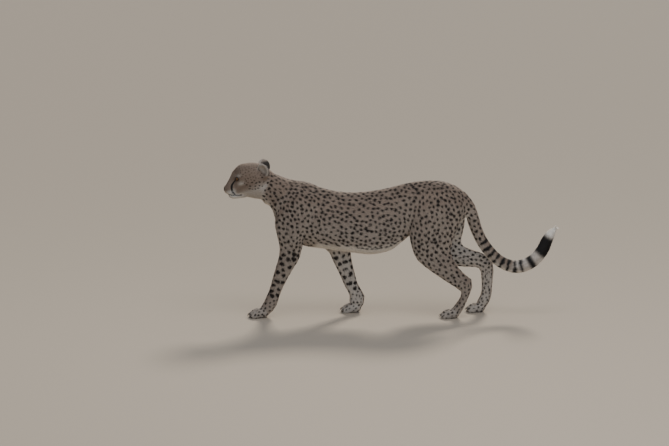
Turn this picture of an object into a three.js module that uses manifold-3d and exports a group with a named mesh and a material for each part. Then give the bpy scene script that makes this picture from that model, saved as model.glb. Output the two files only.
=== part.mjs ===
// A life-size cheetah in mid walk, as a still model.
// Millimetres, +Z up. It walks towards -X, and its left side faces -Y. Each named mesh is one part of the body.
import * as THREE from 'three';
import { mergeVertices } from 'three/addons/utils/BufferGeometryUtils.js';
import Module from 'manifold-3d';

const wasm = await Module();
wasm.setup();

// ---------------------------------------------------------------- driving dimensions
const WITHERS = 666; // height of the shoulders in this low, stretched stride
const TRUNK = 950; // point of the chest to the back of the rump
const CHEST_WIDTH = 208; // across the ribs
const HEAD_LENGTH = 225; // nose to nape
const HEAD_WIDTH = 140; // across the cheeks
const TAIL_RADIUS = 30; // with its fur
const PAW_WIDTH = 66;
const EYE_RADIUS = 17.5;
const EAR_HEIGHT = 70;
const GAP = 0.3; // between touching parts

const CHEST_X = -580; // the point of the chest, with the origin under the middle of the whole animal
const NOSE = new THREE.Vector3(-815, 0, 632);
const HALF_CHEST = CHEST_WIDTH / 2;
const HALF_HEAD = HEAD_WIDTH / 2;
const LEFT = -1;
const RIGHT = 1;

// ---------------------------------------------------------------- solids
// A closed three.js geometry as a manifold-3d solid, with its faces turned out.
function solidOf(geometry) {
  const bare = geometry.index ? geometry.toNonIndexed() : geometry.clone();
  bare.deleteAttribute('normal');
  bare.deleteAttribute('uv');
  const merged = mergeVertices(bare, 1e-4);
  const vertProperties = Float32Array.from(merged.attributes.position.array);
  const triVerts = Uint32Array.from(merged.index.array);
  const made = new wasm.Manifold(new wasm.Mesh({ numProp: 3, vertProperties, triVerts }));
  if (made.volume() > 0) return made;
  for (let i = 0; i < triVerts.length; i += 3) {
    [triVerts[i], triVerts[i + 1]] = [triVerts[i + 1], triVerts[i]];
  }
  return new wasm.Manifold(new wasm.Mesh({ numProp: 3, vertProperties, triVerts }));
}

// A manifold-3d solid as a three.js geometry.
function geometryOf(solid) {
  const mesh = solid.getMesh();
  const positions = new Float32Array(mesh.numVert * 3);
  for (let i = 0; i < mesh.numVert; i++) {
    positions.set(mesh.vertProperties.subarray(i * mesh.numProp, i * mesh.numProp + 3), i * 3);
  }
  const geometry = new THREE.BufferGeometry();
  geometry.setAttribute('position', new THREE.BufferAttribute(positions, 3));
  geometry.setIndex(new THREE.BufferAttribute(Uint32Array.from(mesh.triVerts), 1));
  return geometry;
}

const join = (solids) => solids.reduce((all, next) => all.add(next));

// ---------------------------------------------------------------- skin
// Skins a row of oval sections into one closed geometry.
// A section runs between two points [x, z], `from` and `to`, and reaches `half` to each side of its own `y`.
// `widest` is where between them it is widest, and `square` is how square the oval is at each end: 2 is an ellipse.
// `domes` are the depths of the round ends.
function skin(stations, { rings, sides, domes = [0, 0] }) {
  const spline = (pick) => {
    const curve = new THREE.SplineCurve(stations.map((s, i) => new THREE.Vector2(i, pick(s))));
    return (t) => curve.getPoint(t).y;
  };
  const value = {
    fromX: spline((s) => s.from[0]),
    fromZ: spline((s) => s.from[1]),
    toX: spline((s) => s.to[0]),
    toZ: spline((s) => s.to[1]),
    half: spline((s) => s.half),
    y: spline((s) => s.y ?? 0),
    widest: spline((s) => s.widest ?? 0.5),
    squareFrom: spline((s) => (s.square ?? [2, 2])[0]),
    squareTo: spline((s) => (s.square ?? [2, 2])[1]),
  };
  const middle = new THREE.CatmullRomCurve3(stations.map((s) => new THREE.Vector3(
    (s.from[0] + s.to[0]) / 2, s.y ?? 0, (s.from[1] + s.to[1]) / 2)));
  const positions = [];
  const addRing = (t, scale = 1, shift = new THREE.Vector3()) => {
    const from = new THREE.Vector3(value.fromX(t), value.y(t), value.fromZ(t));
    const to = new THREE.Vector3(value.toX(t), value.y(t), value.toZ(t));
    const centre = from.clone().lerp(to, value.widest(t));
    for (let k = 0; k < sides; k++) {
      const turn = (2 * Math.PI * k) / sides;
      const c = Math.cos(turn);
      const s = Math.sin(turn);
      const power = 2 / (c > 0 ? value.squareFrom(t) : value.squareTo(t));
      const reach = Math.abs(c) ** power * scale;
      const spread = Math.sign(s) * Math.abs(s) ** power * scale * value.half(t);
      const point = centre.clone().lerp(c > 0 ? from : to, reach).add(shift);
      positions.push(point.x, point.y + spread, point.z);
    }
  };
  const DOME_RINGS = 2;
  const dome = (t, depth, outward) => {
    const along = middle.getTangent(t).multiplyScalar(outward * depth);
    const steps = Array.from({ length: DOME_RINGS }, (_, i) => (Math.PI / 2) * ((i + 1) / (DOME_RINGS + 1)));
    if (outward < 0) steps.reverse();
    steps.forEach((a) => addRing(t, Math.cos(a), along.clone().multiplyScalar(Math.sin(a))));
    return along;
  };
  const lengthwise = (r) => middle.getUtoTmapping(r / rings);
  const startTip = domes[0] ? dome(0, domes[0], -1) : new THREE.Vector3();
  for (let r = 0; r <= rings; r++) addRing(lengthwise(r));
  const endTip = domes[1] ? dome(1, domes[1], 1) : new THREE.Vector3();

  const count = positions.length / 3 / sides;
  const index = [];
  for (let r = 0; r < count - 1; r++) {
    for (let k = 0; k < sides; k++) {
      const a = r * sides + k;
      const b = r * sides + ((k + 1) % sides);
      index.push(a, b, a + sides, b, b + sides, a + sides);
    }
  }
  const closeEnd = (t, tip, first, flip) => {
    const from = new THREE.Vector3(value.fromX(t), value.y(t), value.fromZ(t));
    const to = new THREE.Vector3(value.toX(t), value.y(t), value.toZ(t));
    const centre = from.lerp(to, value.widest(t)).add(tip);
    const pole = positions.length / 3;
    positions.push(centre.x, centre.y, centre.z);
    for (let k = 0; k < sides; k++) {
      const a = first + k;
      const b = first + ((k + 1) % sides);
      index.push(...(flip ? [pole, b, a] : [pole, a, b]));
    }
  };
  closeEnd(0, startTip, 0, true);
  closeEnd(1, endTip, (count - 1) * sides, false);
  const geometry = new THREE.BufferGeometry();
  geometry.setAttribute('position', new THREE.Float32BufferAttribute(positions, 3));
  geometry.setIndex(index);
  return geometry;
}

// Pushes a geometry's surface out round each swell's centre, or in where `by` is negative.
function swollen(geometry, swells) {
  geometry.computeVertexNormals();
  const position = geometry.attributes.position;
  const normal = geometry.attributes.normal;
  const point = new THREE.Vector3();
  const moved = new Float32Array(position.array);
  for (let i = 0; i < position.count; i++) {
    point.fromBufferAttribute(position, i);
    let push = 0;
    for (const { at, radius, by } of swells) {
      push += by * Math.exp(-0.5 * (point.distanceTo(at) / radius) ** 2);
    }
    moved[3 * i] += push * normal.getX(i);
    moved[3 * i + 1] += push * normal.getY(i);
    moved[3 * i + 2] += push * normal.getZ(i);
  }
  geometry.setAttribute('position', new THREE.BufferAttribute(moved, 3));
  return geometry;
}

// A swell given for the left side, and the same one on the right.
const both = ([x, y, z], radius, by) => [LEFT, RIGHT].map((side) => (
  { at: new THREE.Vector3(x, side * y, z), radius, by }));
const middleSwell = ([x, z], radius, by) => ({ at: new THREE.Vector3(x, 0, z), radius, by });

// ---------------------------------------------------------------- trunk and neck
// Shares: `at` along the trunk from the point of the chest, heights of the withers' height, widths of the ribs' half.
const trunkPoint = (at, height) => [CHEST_X + at * TRUNK, height * WITHERS];
const section = (back, belly, width, more = {}) => (
  { from: trunkPoint(...back), to: trunkPoint(...belly), half: width * HALF_CHEST, ...more });

function trunk() {
  const stations = [
    section([-0.075, 1.055], [-0.085, 0.93], 0.46), // inside the head
    section([-0.026, 1.08], [-0.052, 0.85], 0.56), // nape and throat
    section([0.021, 1.052], [-0.012, 0.808], 0.61),
    section([0.074, 1.024], [0.006, 0.748], 0.7), // root of the neck
    section([0.132, 1.007], [0.027, 0.66], 0.8, { square: [1.8, 2.1] }), // breast
    section([0.19, 0.99], [0.075, 0.565], 0.9, { widest: 0.52, square: [1.75, 2] }),
    section([0.246, 0.957], [0.165, 0.517], 0.96, { widest: 0.54, square: [1.75, 2] }),
    section([0.326, 0.928], [0.284, 0.492], 1, { widest: 0.55, square: [1.8, 2.05] }), // ribs
    section([0.41, 0.917], [0.4, 0.47], 1, { widest: 0.57, square: [1.85, 2.15] }),
    section([0.505, 0.926], [0.505, 0.455], 0.93, { widest: 0.57, square: [1.9, 2.2] }), // belly
    section([0.6, 0.951], [0.6, 0.482], 0.8, { widest: 0.54, square: [2, 2.2] }),
    section([0.684, 0.983], [0.67, 0.556], 0.69, { widest: 0.5, square: [2.05, 2.1] }), // waist
    section([0.768, 1.004], [0.735, 0.628], 0.74, { square: [2.1, 2] }),
    section([0.847, 1.005], [0.825, 0.66], 0.86, { square: [2.1, 2] }), // hips
    section([0.915, 0.983], [0.905, 0.655], 0.84, { square: [2, 2] }),
    section([0.963, 0.945], [0.96, 0.685], 0.68),
    section([0.993, 0.902], [0.99, 0.725], 0.46), // back of the rump
  ];
  const swells = [
    ...both([-475, 60, 640], 42, 4), // shoulder blades under the skin
    ...both([-330, 92, 470], 70, 3), // spring of the ribs
    ...both([10, 70, 440], 60, -5), // flank hollow
    ...both([150, 60, 655], 45, 3), // loin muscle
    ...both([225, 70, 640], 34, 4), // point of the hip
    middleSwell([-545, 520], 45, 5), // breast bone
  ];
  return swollen(skin(stations, { rings: 40, sides: 20, domes: [0, 22] }), swells);
}

// ---------------------------------------------------------------- limbs
// A limb's stations run from inside the trunk to the foot. `from` is on its front line and `to` on its back line, and
// each row gives the middle's distance from the animal's own middle, and the half thickness.
const limbStations = (side, rows) => rows.map(([from, to, out, half]) => (
  { from, to, y: side * out, half }));

const FORE_REACHING = [ // the left foreleg, which has just landed
  [[-446, 634], [-378, 624], 40, 14],
  [[-500, 600], [-350, 590], 54, 36],
  [[-546, 540], [-356, 522], 62, 43],
  [[-566, 480], [-383, 448], 66, 43],
  [[-558, 420], [-415, 390], 67, 38],
  [[-546, 366], [-434, 340], 67, 32], // elbow
  [[-545, 318], [-446, 292], 66, 28],
  [[-555, 274], [-472, 249], 65, 26],
  [[-568, 230], [-497, 206], 64, 24],
  [[-580, 186], [-517, 167], 63, 22.5],
  [[-592, 144], [-536, 126], 62, 22],
  [[-606, 108], [-548, 88], 61, 24], // wrist
  [[-619, 78], [-560, 56], 60, 25],
  [[-636, 50], [-580, 28], 60, 27],
  [[-646, 33], [-600, 10], 60, 20], // inside the paw
];

const FORE_TRAILING = [ // the right foreleg, at the end of its step
  [[-446, 634], [-376, 624], 40, 14],
  [[-492, 594], [-338, 588], 54, 36],
  [[-512, 532], [-310, 532], 62, 43],
  [[-496, 466], [-276, 474], 66, 43],
  [[-440, 402], [-244, 420], 68, 39],
  [[-364, 346], [-216, 374], 68, 34],
  [[-306, 300], [-199, 336], 67, 29], // elbow
  [[-283, 252], [-194, 284], 66, 26],
  [[-260, 206], [-185, 234], 65, 24],
  [[-241, 164], [-174, 189], 64, 22.5],
  [[-225, 126], [-162, 146], 63, 22],
  [[-208, 98], [-140, 104], 62, 24], // wrist
  [[-200, 72], [-124, 68], 61, 26],
  [[-204, 48], [-136, 32], 61, 28],
  [[-200, 32], [-150, 10], 61, 20], // inside the paw
];

const HIND_STANDING = [ // the left hind leg, which carries the weight
  [[182, 626], [282, 622], 42, 22],
  [[120, 580], [334, 590], 52, 45],
  [[92, 510], [354, 534], 58, 48],
  [[84, 442], [340, 480], 62, 47],
  [[90, 386], [320, 432], 66, 43],
  [[103, 336], [302, 386], 70, 38],
  [[121, 294], [291, 348], 73, 33], // knee
  [[161, 255], [295, 318], 75, 31],
  [[216, 216], [306, 288], 76, 28], // calf
  [[268, 180], [331, 250], 75, 25],
  [[314, 151], [362, 217], 74, 22],
  [[342, 128], [392, 192], 73, 21], // heel
  [[338, 104], [396, 150], 72, 21],
  [[325, 82], [378, 102], 71, 22],
  [[308, 58], [360, 60], 70, 24],
  [[296, 44], [346, 30], 70, 26],
  [[288, 30], [332, 10], 70, 20], // inside the paw
];

const HIND_SWINGING = [ // the right hind leg, its toes just leaving the ground
  [[182, 626], [282, 622], 42, 22],
  [[124, 580], [334, 590], 52, 45],
  [[106, 510], [356, 534], 58, 48],
  [[106, 442], [362, 480], 62, 47],
  [[116, 386], [360, 430], 66, 43],
  [[134, 332], [350, 386], 70, 38],
  [[164, 282], [346, 350], 73, 33], // knee
  [[222, 247], [358, 330], 75, 31],
  [[292, 230], [380, 318], 75, 28], // calf
  [[358, 223], [410, 307], 75, 25],
  [[410, 222], [446, 295], 74, 22],
  [[438, 214], [484, 272], 73, 21], // heel
  [[444, 186], [506, 234], 72, 21],
  [[447, 150], [504, 172], 71, 20],
  [[448, 116], [500, 122], 70, 21],
  [[442, 82], [497, 82], 70, 24],
  [[432, 60], [488, 52], 70, 26],
  [[420, 44], [474, 30], 70, 26],
  [[418, 30], [462, 10], 70, 20], // inside the paw
];

// ---------------------------------------------------------------- paws
const TOES = [-1.5, -0.5, 0.5, 1.5];
const TOE_SPACING = PAW_WIDTH / 4;
const TOE_FAN = THREE.MathUtils.degToRad(6);
const CLAW_LENGTH = 15;
const CLAW_RADIUS = 3;

// In a paw's own frame the toes point to +X, the floor is z = 0, and the origin is under the ball of the foot.
function palm() {
  const stations = [
    { from: [-29, 36], to: [-27, 9], half: 19 },
    { from: [-21, 50], to: [-21, 0], half: 26 },
    { from: [-6, 53], to: [-8, -3], half: 31, square: [2, 2.4] },
    { from: [14, 44], to: [12, -3], half: 31, square: [2, 2.4] },
    { from: [30, 31], to: [28, 4], half: 25 },
  ];
  return solidOf(skin(stations, { rings: 5, sides: 12, domes: [3, 6] }));
}

// One toe in the paw's frame. `curl` lowers its tip.
function toe(i) {
  const longer = Math.abs(i) < 1 ? 8 : 0;
  const stations = [
    { from: [6, 40], to: [4, 8], half: 8.5 },
    { from: [24, 42], to: [20, 0], half: 9.8 },
    { from: [38 + longer, 37], to: [36 + longer, -3], half: 10.2, square: [2, 2.5] },
    { from: [51 + longer, 26], to: [50 + longer, -2], half: 9, square: [2, 2.5] },
  ];
  return placedToe(skin(stations, { rings: 4, sides: 8, domes: [0, 8] }), i);
}

const placedToe = (geometry, i) => geometry
  .rotateZ(-i * TOE_FAN)
  .translate(0, -i * TOE_SPACING * 0.92, 0);

// A claw curves forward and down out of its toe. `slack` makes the hollow that it sits in.
function claw(i, slack = 0) {
  const longer = Math.abs(i) < 1 ? 8 : 0;
  const BEND = THREE.MathUtils.degToRad(62);
  const ROOT = new THREE.Vector2(49 + longer - slack, 19);
  const STEPS = 4;
  const stations = Array.from({ length: STEPS }, (_, n) => {
    const share = n / (STEPS - 1);
    const angle = share * BEND + 0.1;
    const radius = (CLAW_RADIUS + slack) * (1 - 0.88 * share);
    const arc = (CLAW_LENGTH + 6) / BEND;
    const centre = ROOT.clone().add(new THREE.Vector2(arc * Math.sin(angle), arc * (Math.cos(angle) - 1)));
    const up = new THREE.Vector2(Math.sin(angle), Math.cos(angle)).multiplyScalar(radius * 1.25);
    return { from: [centre.x + up.x, centre.y + up.y], to: [centre.x - up.x, centre.y - up.y], half: radius * 0.75 };
  });
  return placedToe(skin(stations, { rings: STEPS - 1, sides: 5 }), i);
}

// Puts a geometry of a paw's frame on the animal: `ball` is the point [x, z] under the ball of the foot, `pitch`
// tips the toes down, in degrees, and `turn` points them outwards.
const pawPlace = ({ side, ball, out, pitch = 0, turn = 4, scale = 1 }) => new THREE.Matrix4()
  .makeTranslation(ball[0], side * out, ball[1])
  .multiply(new THREE.Matrix4().makeRotationZ(Math.PI - side * THREE.MathUtils.degToRad(turn)))
  .multiply(new THREE.Matrix4().makeRotationY(THREE.MathUtils.degToRad(pitch)))
  .multiply(new THREE.Matrix4().makeScale(scale, scale, scale));

const PAWS = {
  fore_left: { side: LEFT, ball: [-628, 0], out: 60 },
  fore_right: { side: RIGHT, ball: [-176, 0], out: 61 },
  hind_left: { side: LEFT, ball: [304, 0], out: 70, scale: 0.94 },
  hind_right: { side: RIGHT, ball: [436, 0], out: 70, scale: 0.94 },
};

const palmAt = (place) => solidOf(geometryOf(palm()).applyMatrix4(place));

// ---------------------------------------------------------------- tail
// The middle of the tail and its radius as a share of TAIL_RADIUS.
const TAIL_LINE = [
  [[325, 592], 1.3], [[372, 540], 1.18], [[398, 482], 1.03], [[417, 426], 0.96], [[442, 372], 0.94], [[476, 322], 0.95],
  [[516, 280], 0.97], [[560, 252], 1], [[610, 240], 1.06], [[660, 250], 1.07], [[704, 277], 1.04], [[737, 319], 1],
  [[759, 364], 0.93], [[780, 402], 0.7], [[794, 421], 0.4],
];

function tail() {
  const line = new THREE.CatmullRomCurve3(TAIL_LINE.map(([[x, z]]) => new THREE.Vector3(x, 0, z)));
  const stations = TAIL_LINE.map(([[x, z], share], i) => {
    const along = line.getTangent(i / (TAIL_LINE.length - 1));
    const up = new THREE.Vector2(-along.z, along.x).multiplyScalar(share * TAIL_RADIUS);
    return { from: [x + up.x, z + up.y], to: [x - up.x, z - up.y], half: share * TAIL_RADIUS * 0.96 };
  });
  return solidOf(skin(stations, { rings: 28, sides: 12, domes: [0, 8] }));
}

// ---------------------------------------------------------------- head
// `behind` the tip of the nose and `height` above it, as shares of the head's length.
const headPoint = ([behind, height]) => [NOSE.x + behind * HEAD_LENGTH, NOSE.z + height * HEAD_LENGTH];
const headSection = (top, under, width, more = {}) => (
  { from: headPoint(top), to: headPoint(under), half: width * HALF_HEAD, ...more });

function skull() {
  const stations = [
    headSection([0.022, 0.018], [0.046, -0.112], 0.36, { widest: 0.6, square: [2.2, 2.5] }), // front of the upper lip
    headSection([0.056, 0.082], [0.088, -0.14], 0.49, { widest: 0.7, square: [1.8, 2.7] }),
    headSection([0.122, 0.203], [0.17, -0.15], 0.53, { widest: 0.7, square: [1.55, 2.7] }), // muzzle
    headSection([0.212, 0.372], [0.26, -0.15], 0.55, { widest: 0.7, square: [1.34, 2.3] }),
    headSection([0.275, 0.442], [0.325, -0.158], 0.74, { widest: 0.52, square: [2.2, 2.15] }), // eyes
    headSection([0.36, 0.497], [0.42, -0.175], 0.92, { widest: 0.47, square: [2.5, 2] }),
    headSection([0.47, 0.53], [0.52, -0.2], 1, { widest: 0.47, square: [2.5, 1.95] }),
    headSection([0.61, 0.545], [0.66, -0.232], 1.03, { widest: 0.48, square: [2.4, 1.95] }), // cheeks
    headSection([0.765, 0.532], [0.8, -0.25], 1, { widest: 0.49, square: [2.3, 1.9] }),
    headSection([0.91, 0.462], [0.915, -0.275], 0.92, { widest: 0.5 }),
    headSection([1.03, 0.365], [1.01, -0.32], 0.82), // nape
    headSection([1.12, 0.29], [1.07, -0.3], 0.64), // inside the neck
  ];
  const swells = [
    ...both([-790, 23, 609], 12, 7), // whisker pads
    ...both([-746, 35, 709], 11, 5), // brows
    ...both([-765, 26, 684], 10, -6), // beside the bridge of the nose
    middleSwell([-770, 705], 9, -3), // bridge of the nose
    ...both([-742, 48, 652], 13, 4), // under the eyes
    ...both([-766, 38, 633], 13, -4), // behind the whisker pads
    ...both([-700, 68, 655], 24, 5), // cheek bones
    ...both([-690, 56, 732], 20, -4), // temples
    middleSwell([-735, 745], 16, -3), // between the brows
  ];
  return solidOf(swollen(skin(stations, { rings: 30, sides: 24, domes: [5, 0] }), swells));
}

// The lower jaw is tucked up inside the upper lip, so that the edge between them is the line of the mouth.
function jaw() {
  const stations = [
    headSection([0.116, -0.09], [0.132, -0.212], 0.23, { square: [2, 2.3] }), // chin
    headSection([0.17, -0.07], [0.19, -0.24], 0.33, { square: [2, 2.2] }),
    headSection([0.25, -0.06], [0.275, -0.24], 0.4),
    headSection([0.36, -0.05], [0.38, -0.224], 0.47),
    headSection([0.46, -0.03], [0.49, -0.2], 0.5),
    headSection([0.56, 0.0], [0.59, -0.14], 0.38), // inside the cheek
  ];
  return solidOf(skin(stations, { rings: 8, sides: 14, domes: [5, 0] }));
}

// The bare leather of the nose, wider at the top.
function nose() {
  const stations = [
    headSection([0.118, 0.122], [0.108, -0.04], 0.2),
    headSection([0.06, 0.072], [0.05, -0.06], 0.24, { widest: 0.3, square: [2.6, 1.5] }),
    headSection([0.018, 0.036], [0.02, -0.082], 0.235, { widest: 0.32, square: [2.6, 1.3] }),
  ];
  return solidOf(skin(stations, { rings: 4, sides: 14, domes: [0, 5] }));
}

const ball = (radius, scale, at, segments = [12, 8]) => new THREE.SphereGeometry(radius, ...segments)
  .scale(...scale)
  .translate(...at);

// Each nostril is a comma that runs out and back.
function nostril(side) {
  const hole = ball(1, [6, 3, 3.6], [0, 0, 0], [10, 7]);
  hole.rotateZ(side * THREE.MathUtils.degToRad(-35));
  return solidOf(hole.translate(NOSE.x - 0.5, side * 9.5, NOSE.z - 8));
}

const PHILTRUM = { width: 1.6, from: -0.05, to: -0.13 };
function philtrum() {
  const height = (PHILTRUM.from - PHILTRUM.to) * HEAD_LENGTH;
  const groove = new THREE.CylinderGeometry(PHILTRUM.width, PHILTRUM.width, height, 6);
  groove.rotateX(Math.PI / 2);
  groove.rotateY(THREE.MathUtils.degToRad(12));
  const [x, z] = headPoint([0.02, (PHILTRUM.from + PHILTRUM.to) / 2]);
  return solidOf(groove.translate(x - 1.5, 0, z));
}

// ---------------------------------------------------------------- eyes
const EYE = new THREE.Vector3(-738.5, 35.5, 682); // the middle of the right eyeball
const EYE_SEGMENTS = [14, 10];
const LID = 2.8; // thickness of the lids over the eyeball
const OPENING = { width: 30, height: 18 };
const GAZE_OUT = THREE.MathUtils.degToRad(38);
const eyeAt = (side) => new THREE.Vector3(EYE.x, side * EYE.y, EYE.z);

const eyeball = (side, radius, segments) => solidOf(
  new THREE.SphereGeometry(radius, ...segments).translate(...eyeAt(side).toArray()));

// The slit between the lids is an almond, pulled down at its inner corner, and faces the way the eye looks.
function openingAt(side) {
  const { width, height } = OPENING;
  const outward = side;
  const almond = new THREE.Shape();
  const inner = -width / 2;
  almond.moveTo(inner, -height * 0.3);
  almond.bezierCurveTo(-width * 0.3, height * 0.35, -width * 0.12, height * 0.56, width * 0.1, height * 0.52);
  almond.bezierCurveTo(width * 0.3, height * 0.46, width * 0.42, height * 0.26, width / 2, 0);
  almond.bezierCurveTo(width * 0.36, -height * 0.36, width * 0.1, -height * 0.54, -width * 0.14, -height * 0.46);
  almond.bezierCurveTo(-width * 0.28, -height * 0.42, -width * 0.4, -height * 0.36, inner, -height * 0.3);
  const prism = new THREE.ExtrudeGeometry(almond, { depth: 26, bevelEnabled: false, curveSegments: 3 });
  const gaze = new THREE.Vector3(-Math.cos(GAZE_OUT), outward * Math.sin(GAZE_OUT), 0.06).normalize();
  const across = new THREE.Vector3(Math.sin(GAZE_OUT), outward * Math.cos(GAZE_OUT), 0).normalize();
  const up = new THREE.Vector3().crossVectors(gaze, across).multiplyScalar(outward * -1).normalize();
  if (up.z < 0) up.negate();
  prism.applyMatrix4(new THREE.Matrix4().makeBasis(across, up, gaze));
  const centre = eyeAt(side).addScaledVector(gaze, 4);
  return solidOf(prism.translate(...centre.toArray()));
}

// ---------------------------------------------------------------- ears
const EAR = { base: new THREE.Vector3(-628, 50, 694), width: 72, depth: 38 };

// In its own frame an ear stands up along +Z from its root, and its hollow opens to +X.
// Each row is its front, its back and its half width, at shares of the ear's size.
const EAR_OUTSIDE = [
  [0.42, -0.46, 0.76, 0], [0.38, -0.5, 0.94, 0.27], [0.24, -0.47, 1, 0.55], [0.08, -0.36, 0.88, 0.8],
  [-0.04, -0.24, 0.54, 0.97]];
const EAR_INSIDE = [
  [0.9, -0.1, 0.4, 0.24], [0.9, -0.3, 0.7, 0.36], [0.9, -0.34, 0.8, 0.57], [0.9, -0.26, 0.68, 0.79],
  [0.9, -0.17, 0.28, 0.92]];
const earSkin = (rows, options) => solidOf(skin(rows.map(([front, back, half, up]) => ({
  from: [front * EAR.depth, up * EAR_HEIGHT],
  to: [back * EAR.depth, up * EAR_HEIGHT],
  half: (half * EAR.width) / 2,
})), options));

function ear(side) {
  const cup = earSkin(EAR_OUTSIDE, { rings: 7, sides: 14, domes: [12, 3] })
    .subtract(earSkin(EAR_INSIDE, { rings: 6, sides: 12, domes: [3, 2] }));
  const place = new THREE.Matrix4()
    .makeTranslation(EAR.base.x, side * EAR.base.y, EAR.base.z)
    .multiply(new THREE.Matrix4().makeRotationX(side * THREE.MathUtils.degToRad(-28)))
    .multiply(new THREE.Matrix4().makeRotationY(THREE.MathUtils.degToRad(8)))
    .multiply(new THREE.Matrix4().makeRotationZ(Math.PI - side * THREE.MathUtils.degToRad(52)));
  return solidOf(geometryOf(cup).applyMatrix4(place));
}

// ---------------------------------------------------------------- cuts
// Everything ahead of a plane, which passes through `at` and faces `normal`, less half of the gap.
function ahead(at, normal) {
  const SIZE = 4000;
  const box = new THREE.BoxGeometry(SIZE, SIZE, SIZE).translate(0, 0, SIZE / 2 + GAP / 2);
  const turn = new THREE.Quaternion().setFromUnitVectors(new THREE.Vector3(0, 0, 1), normal.clone().normalize());
  return solidOf(box.applyQuaternion(turn).translate(...at.toArray()));
}

// A part that was cut keeps its largest closed surface.
const largest = (solid) => solid.decompose().sort((a, b) => b.volume() - a.volume())[0];

// Parts a solid across [x, z], and gives the piece behind the cut and the piece that `facing` points to.
function halves(solid, [x, z], facing) {
  const at = new THREE.Vector3(x, 0, z);
  const normal = new THREE.Vector3(facing[0], 0, facing[1]);
  return [
    largest(solid.intersect(ahead(at, normal.clone().negate()))),
    largest(solid.intersect(ahead(at, normal))),
  ];
}

// A block that holds one shoulder or haunch: its outline from the side, reaching in to a plane that leans outwards.
// `inner` is how far that plane is from the middle of the animal at the height z = 400, and `lean` its slope.
function limbBlock(side, outline, inner, lean, slack) {
  const curve = new THREE.SplineCurve([...outline, outline[0]].map(([x, z]) => new THREE.Vector2(x, z)));
  const COUNT = 28;
  const points = curve.getPoints(COUNT).slice(0, COUNT);
  const grown = points.map((p, i) => {
    const along = points[(i + 1) % COUNT].clone().sub(points[(i + COUNT - 1) % COUNT]).normalize();
    return new THREE.Vector2(p.x + along.y * slack, p.y - along.x * slack);
  });
  const REACH = 300;
  const block = new THREE.ExtrudeGeometry(new THREE.Shape(grown), { depth: REACH, bevelEnabled: false });
  block.rotateX(Math.PI / 2);
  const position = block.attributes.position;
  for (let i = 0; i < position.count; i++) {
    const z = position.getZ(i);
    const out = position.getY(i) < -REACH / 2 ? REACH : inner + lean * (z - 400) - slack;
    position.setY(i, side * out);
  }
  return solidOf(block);
}

// ---------------------------------------------------------------- whole limbs
const LIMBS = {
  fore_left: {
    side: LEFT,
    rows: FORE_REACHING,
    parts: ['shoulder', 'forearm', 'paw'],
    cuts: [[[-494, 328], [-0.3, -0.95]], [[-577, 104], [-0.42, -0.91]]],
    outline: [[-430, 645], [-500, 598], [-566, 530], [-606, 440], [-590, 330], [-480, 290], [-400, 330],
      [-345, 420], [-330, 520], [-365, 610]],
    inner: 28,
  },
  fore_right: {
    side: RIGHT,
    rows: FORE_TRAILING,
    parts: ['shoulder', 'forearm', 'paw'],
    cuts: [[[-240, 292], [0.3, -0.95]], [[-175, 104], [0.28, -0.96]]],
    outline: [[-430, 645], [-500, 598], [-545, 530], [-525, 450], [-440, 370], [-350, 290], [-240, 240],
      [-150, 290], [-200, 400], [-270, 510], [-330, 600]],
    inner: 28,
  },
  hind_left: {
    side: LEFT,
    rows: HIND_STANDING,
    parts: ['thigh', 'shank', 'foot', 'paw'],
    cuts: [[[204, 318], [0.3, -0.95]], [[352, 176], [0.55, -0.84]], [[338, 72], [-0.35, -0.94]]],
    outline: [[200, 652], [110, 618], [60, 540], [46, 440], [60, 330], [150, 260], [330, 300], [400, 400],
      [420, 500], [372, 590], [300, 640]],
    inner: 26,
  },
  hind_right: {
    side: RIGHT,
    rows: HIND_SWINGING,
    parts: ['thigh', 'shank', 'foot', 'paw'],
    cuts: [[[262, 306], [0.75, -0.66]], [[462, 240], [0.5, -0.86]], [[470, 72], [-0.1, -1]]],
    outline: [[200, 652], [110, 618], [60, 540], [56, 440], [80, 330], [150, 220], [330, 230], [440, 330],
      [430, 500], [372, 590], [300, 640]],
    inner: 26,
  },
};

const limbSolid = ({ side, rows }) => solidOf(skin(limbStations(side, rows), { rings: 22, sides: 12 }));

// A limb's pieces from the trunk down, with the paw on the last of them, and its claws.
function limbPieces(name) {
  const { cuts } = LIMBS[name];
  const place = pawPlace(PAWS[name]);
  const pieces = [];
  let rest = limbSolid(LIMBS[name]);
  for (const [at, facing] of cuts) {
    const [above, below] = halves(rest, at, facing);
    pieces.push(above);
    rest = below;
  }
  const toes = TOES.map((i) => solidOf(toe(i).applyMatrix4(place)));
  const hollows = TOES.map((i) => solidOf(claw(i, GAP).applyMatrix4(place)));
  const lastCut = cuts[cuts.length - 1];
  const foot = halves(join([palmAt(place), ...toes]), ...lastCut)[1];
  const floor = ahead(new THREE.Vector3(0, 0, -GAP / 2), new THREE.Vector3(0, 0, 1));
  const paw = join([rest, foot]).subtract(join(hollows)).intersect(floor);
  pieces.push(largest(paw));
  const claws = TOES.map((i) => solidOf(claw(i).applyMatrix4(place)).intersect(floor));
  return { pieces, claws };
}

// ---------------------------------------------------------------- the whole animal
const TAIL_CUTS = [
  ['tail_base', [402, 474], [0.41, -0.91]],
  ['tail_middle', [455, 350], [0.53, -0.85]],
  ['tail_end', [585, 244], [0.99, -0.12]],
  ['tail_tip', [718, 291], [0.6, 0.8]],
];

// The root of the tail, which stays in one piece with the rump, and the named pieces beyond it.
function tailPieces() {
  const parts = {};
  let [root, beyond] = halves(tail(), TAIL_CUTS[0][1], TAIL_CUTS[0][2]);
  TAIL_CUTS.forEach(([name], i) => {
    const next = TAIL_CUTS[i + 1];
    if (next) [parts[name], beyond] = halves(beyond, next[1], next[2]);
    else parts[name] = beyond;
  });
  return { root, parts };
}

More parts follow.
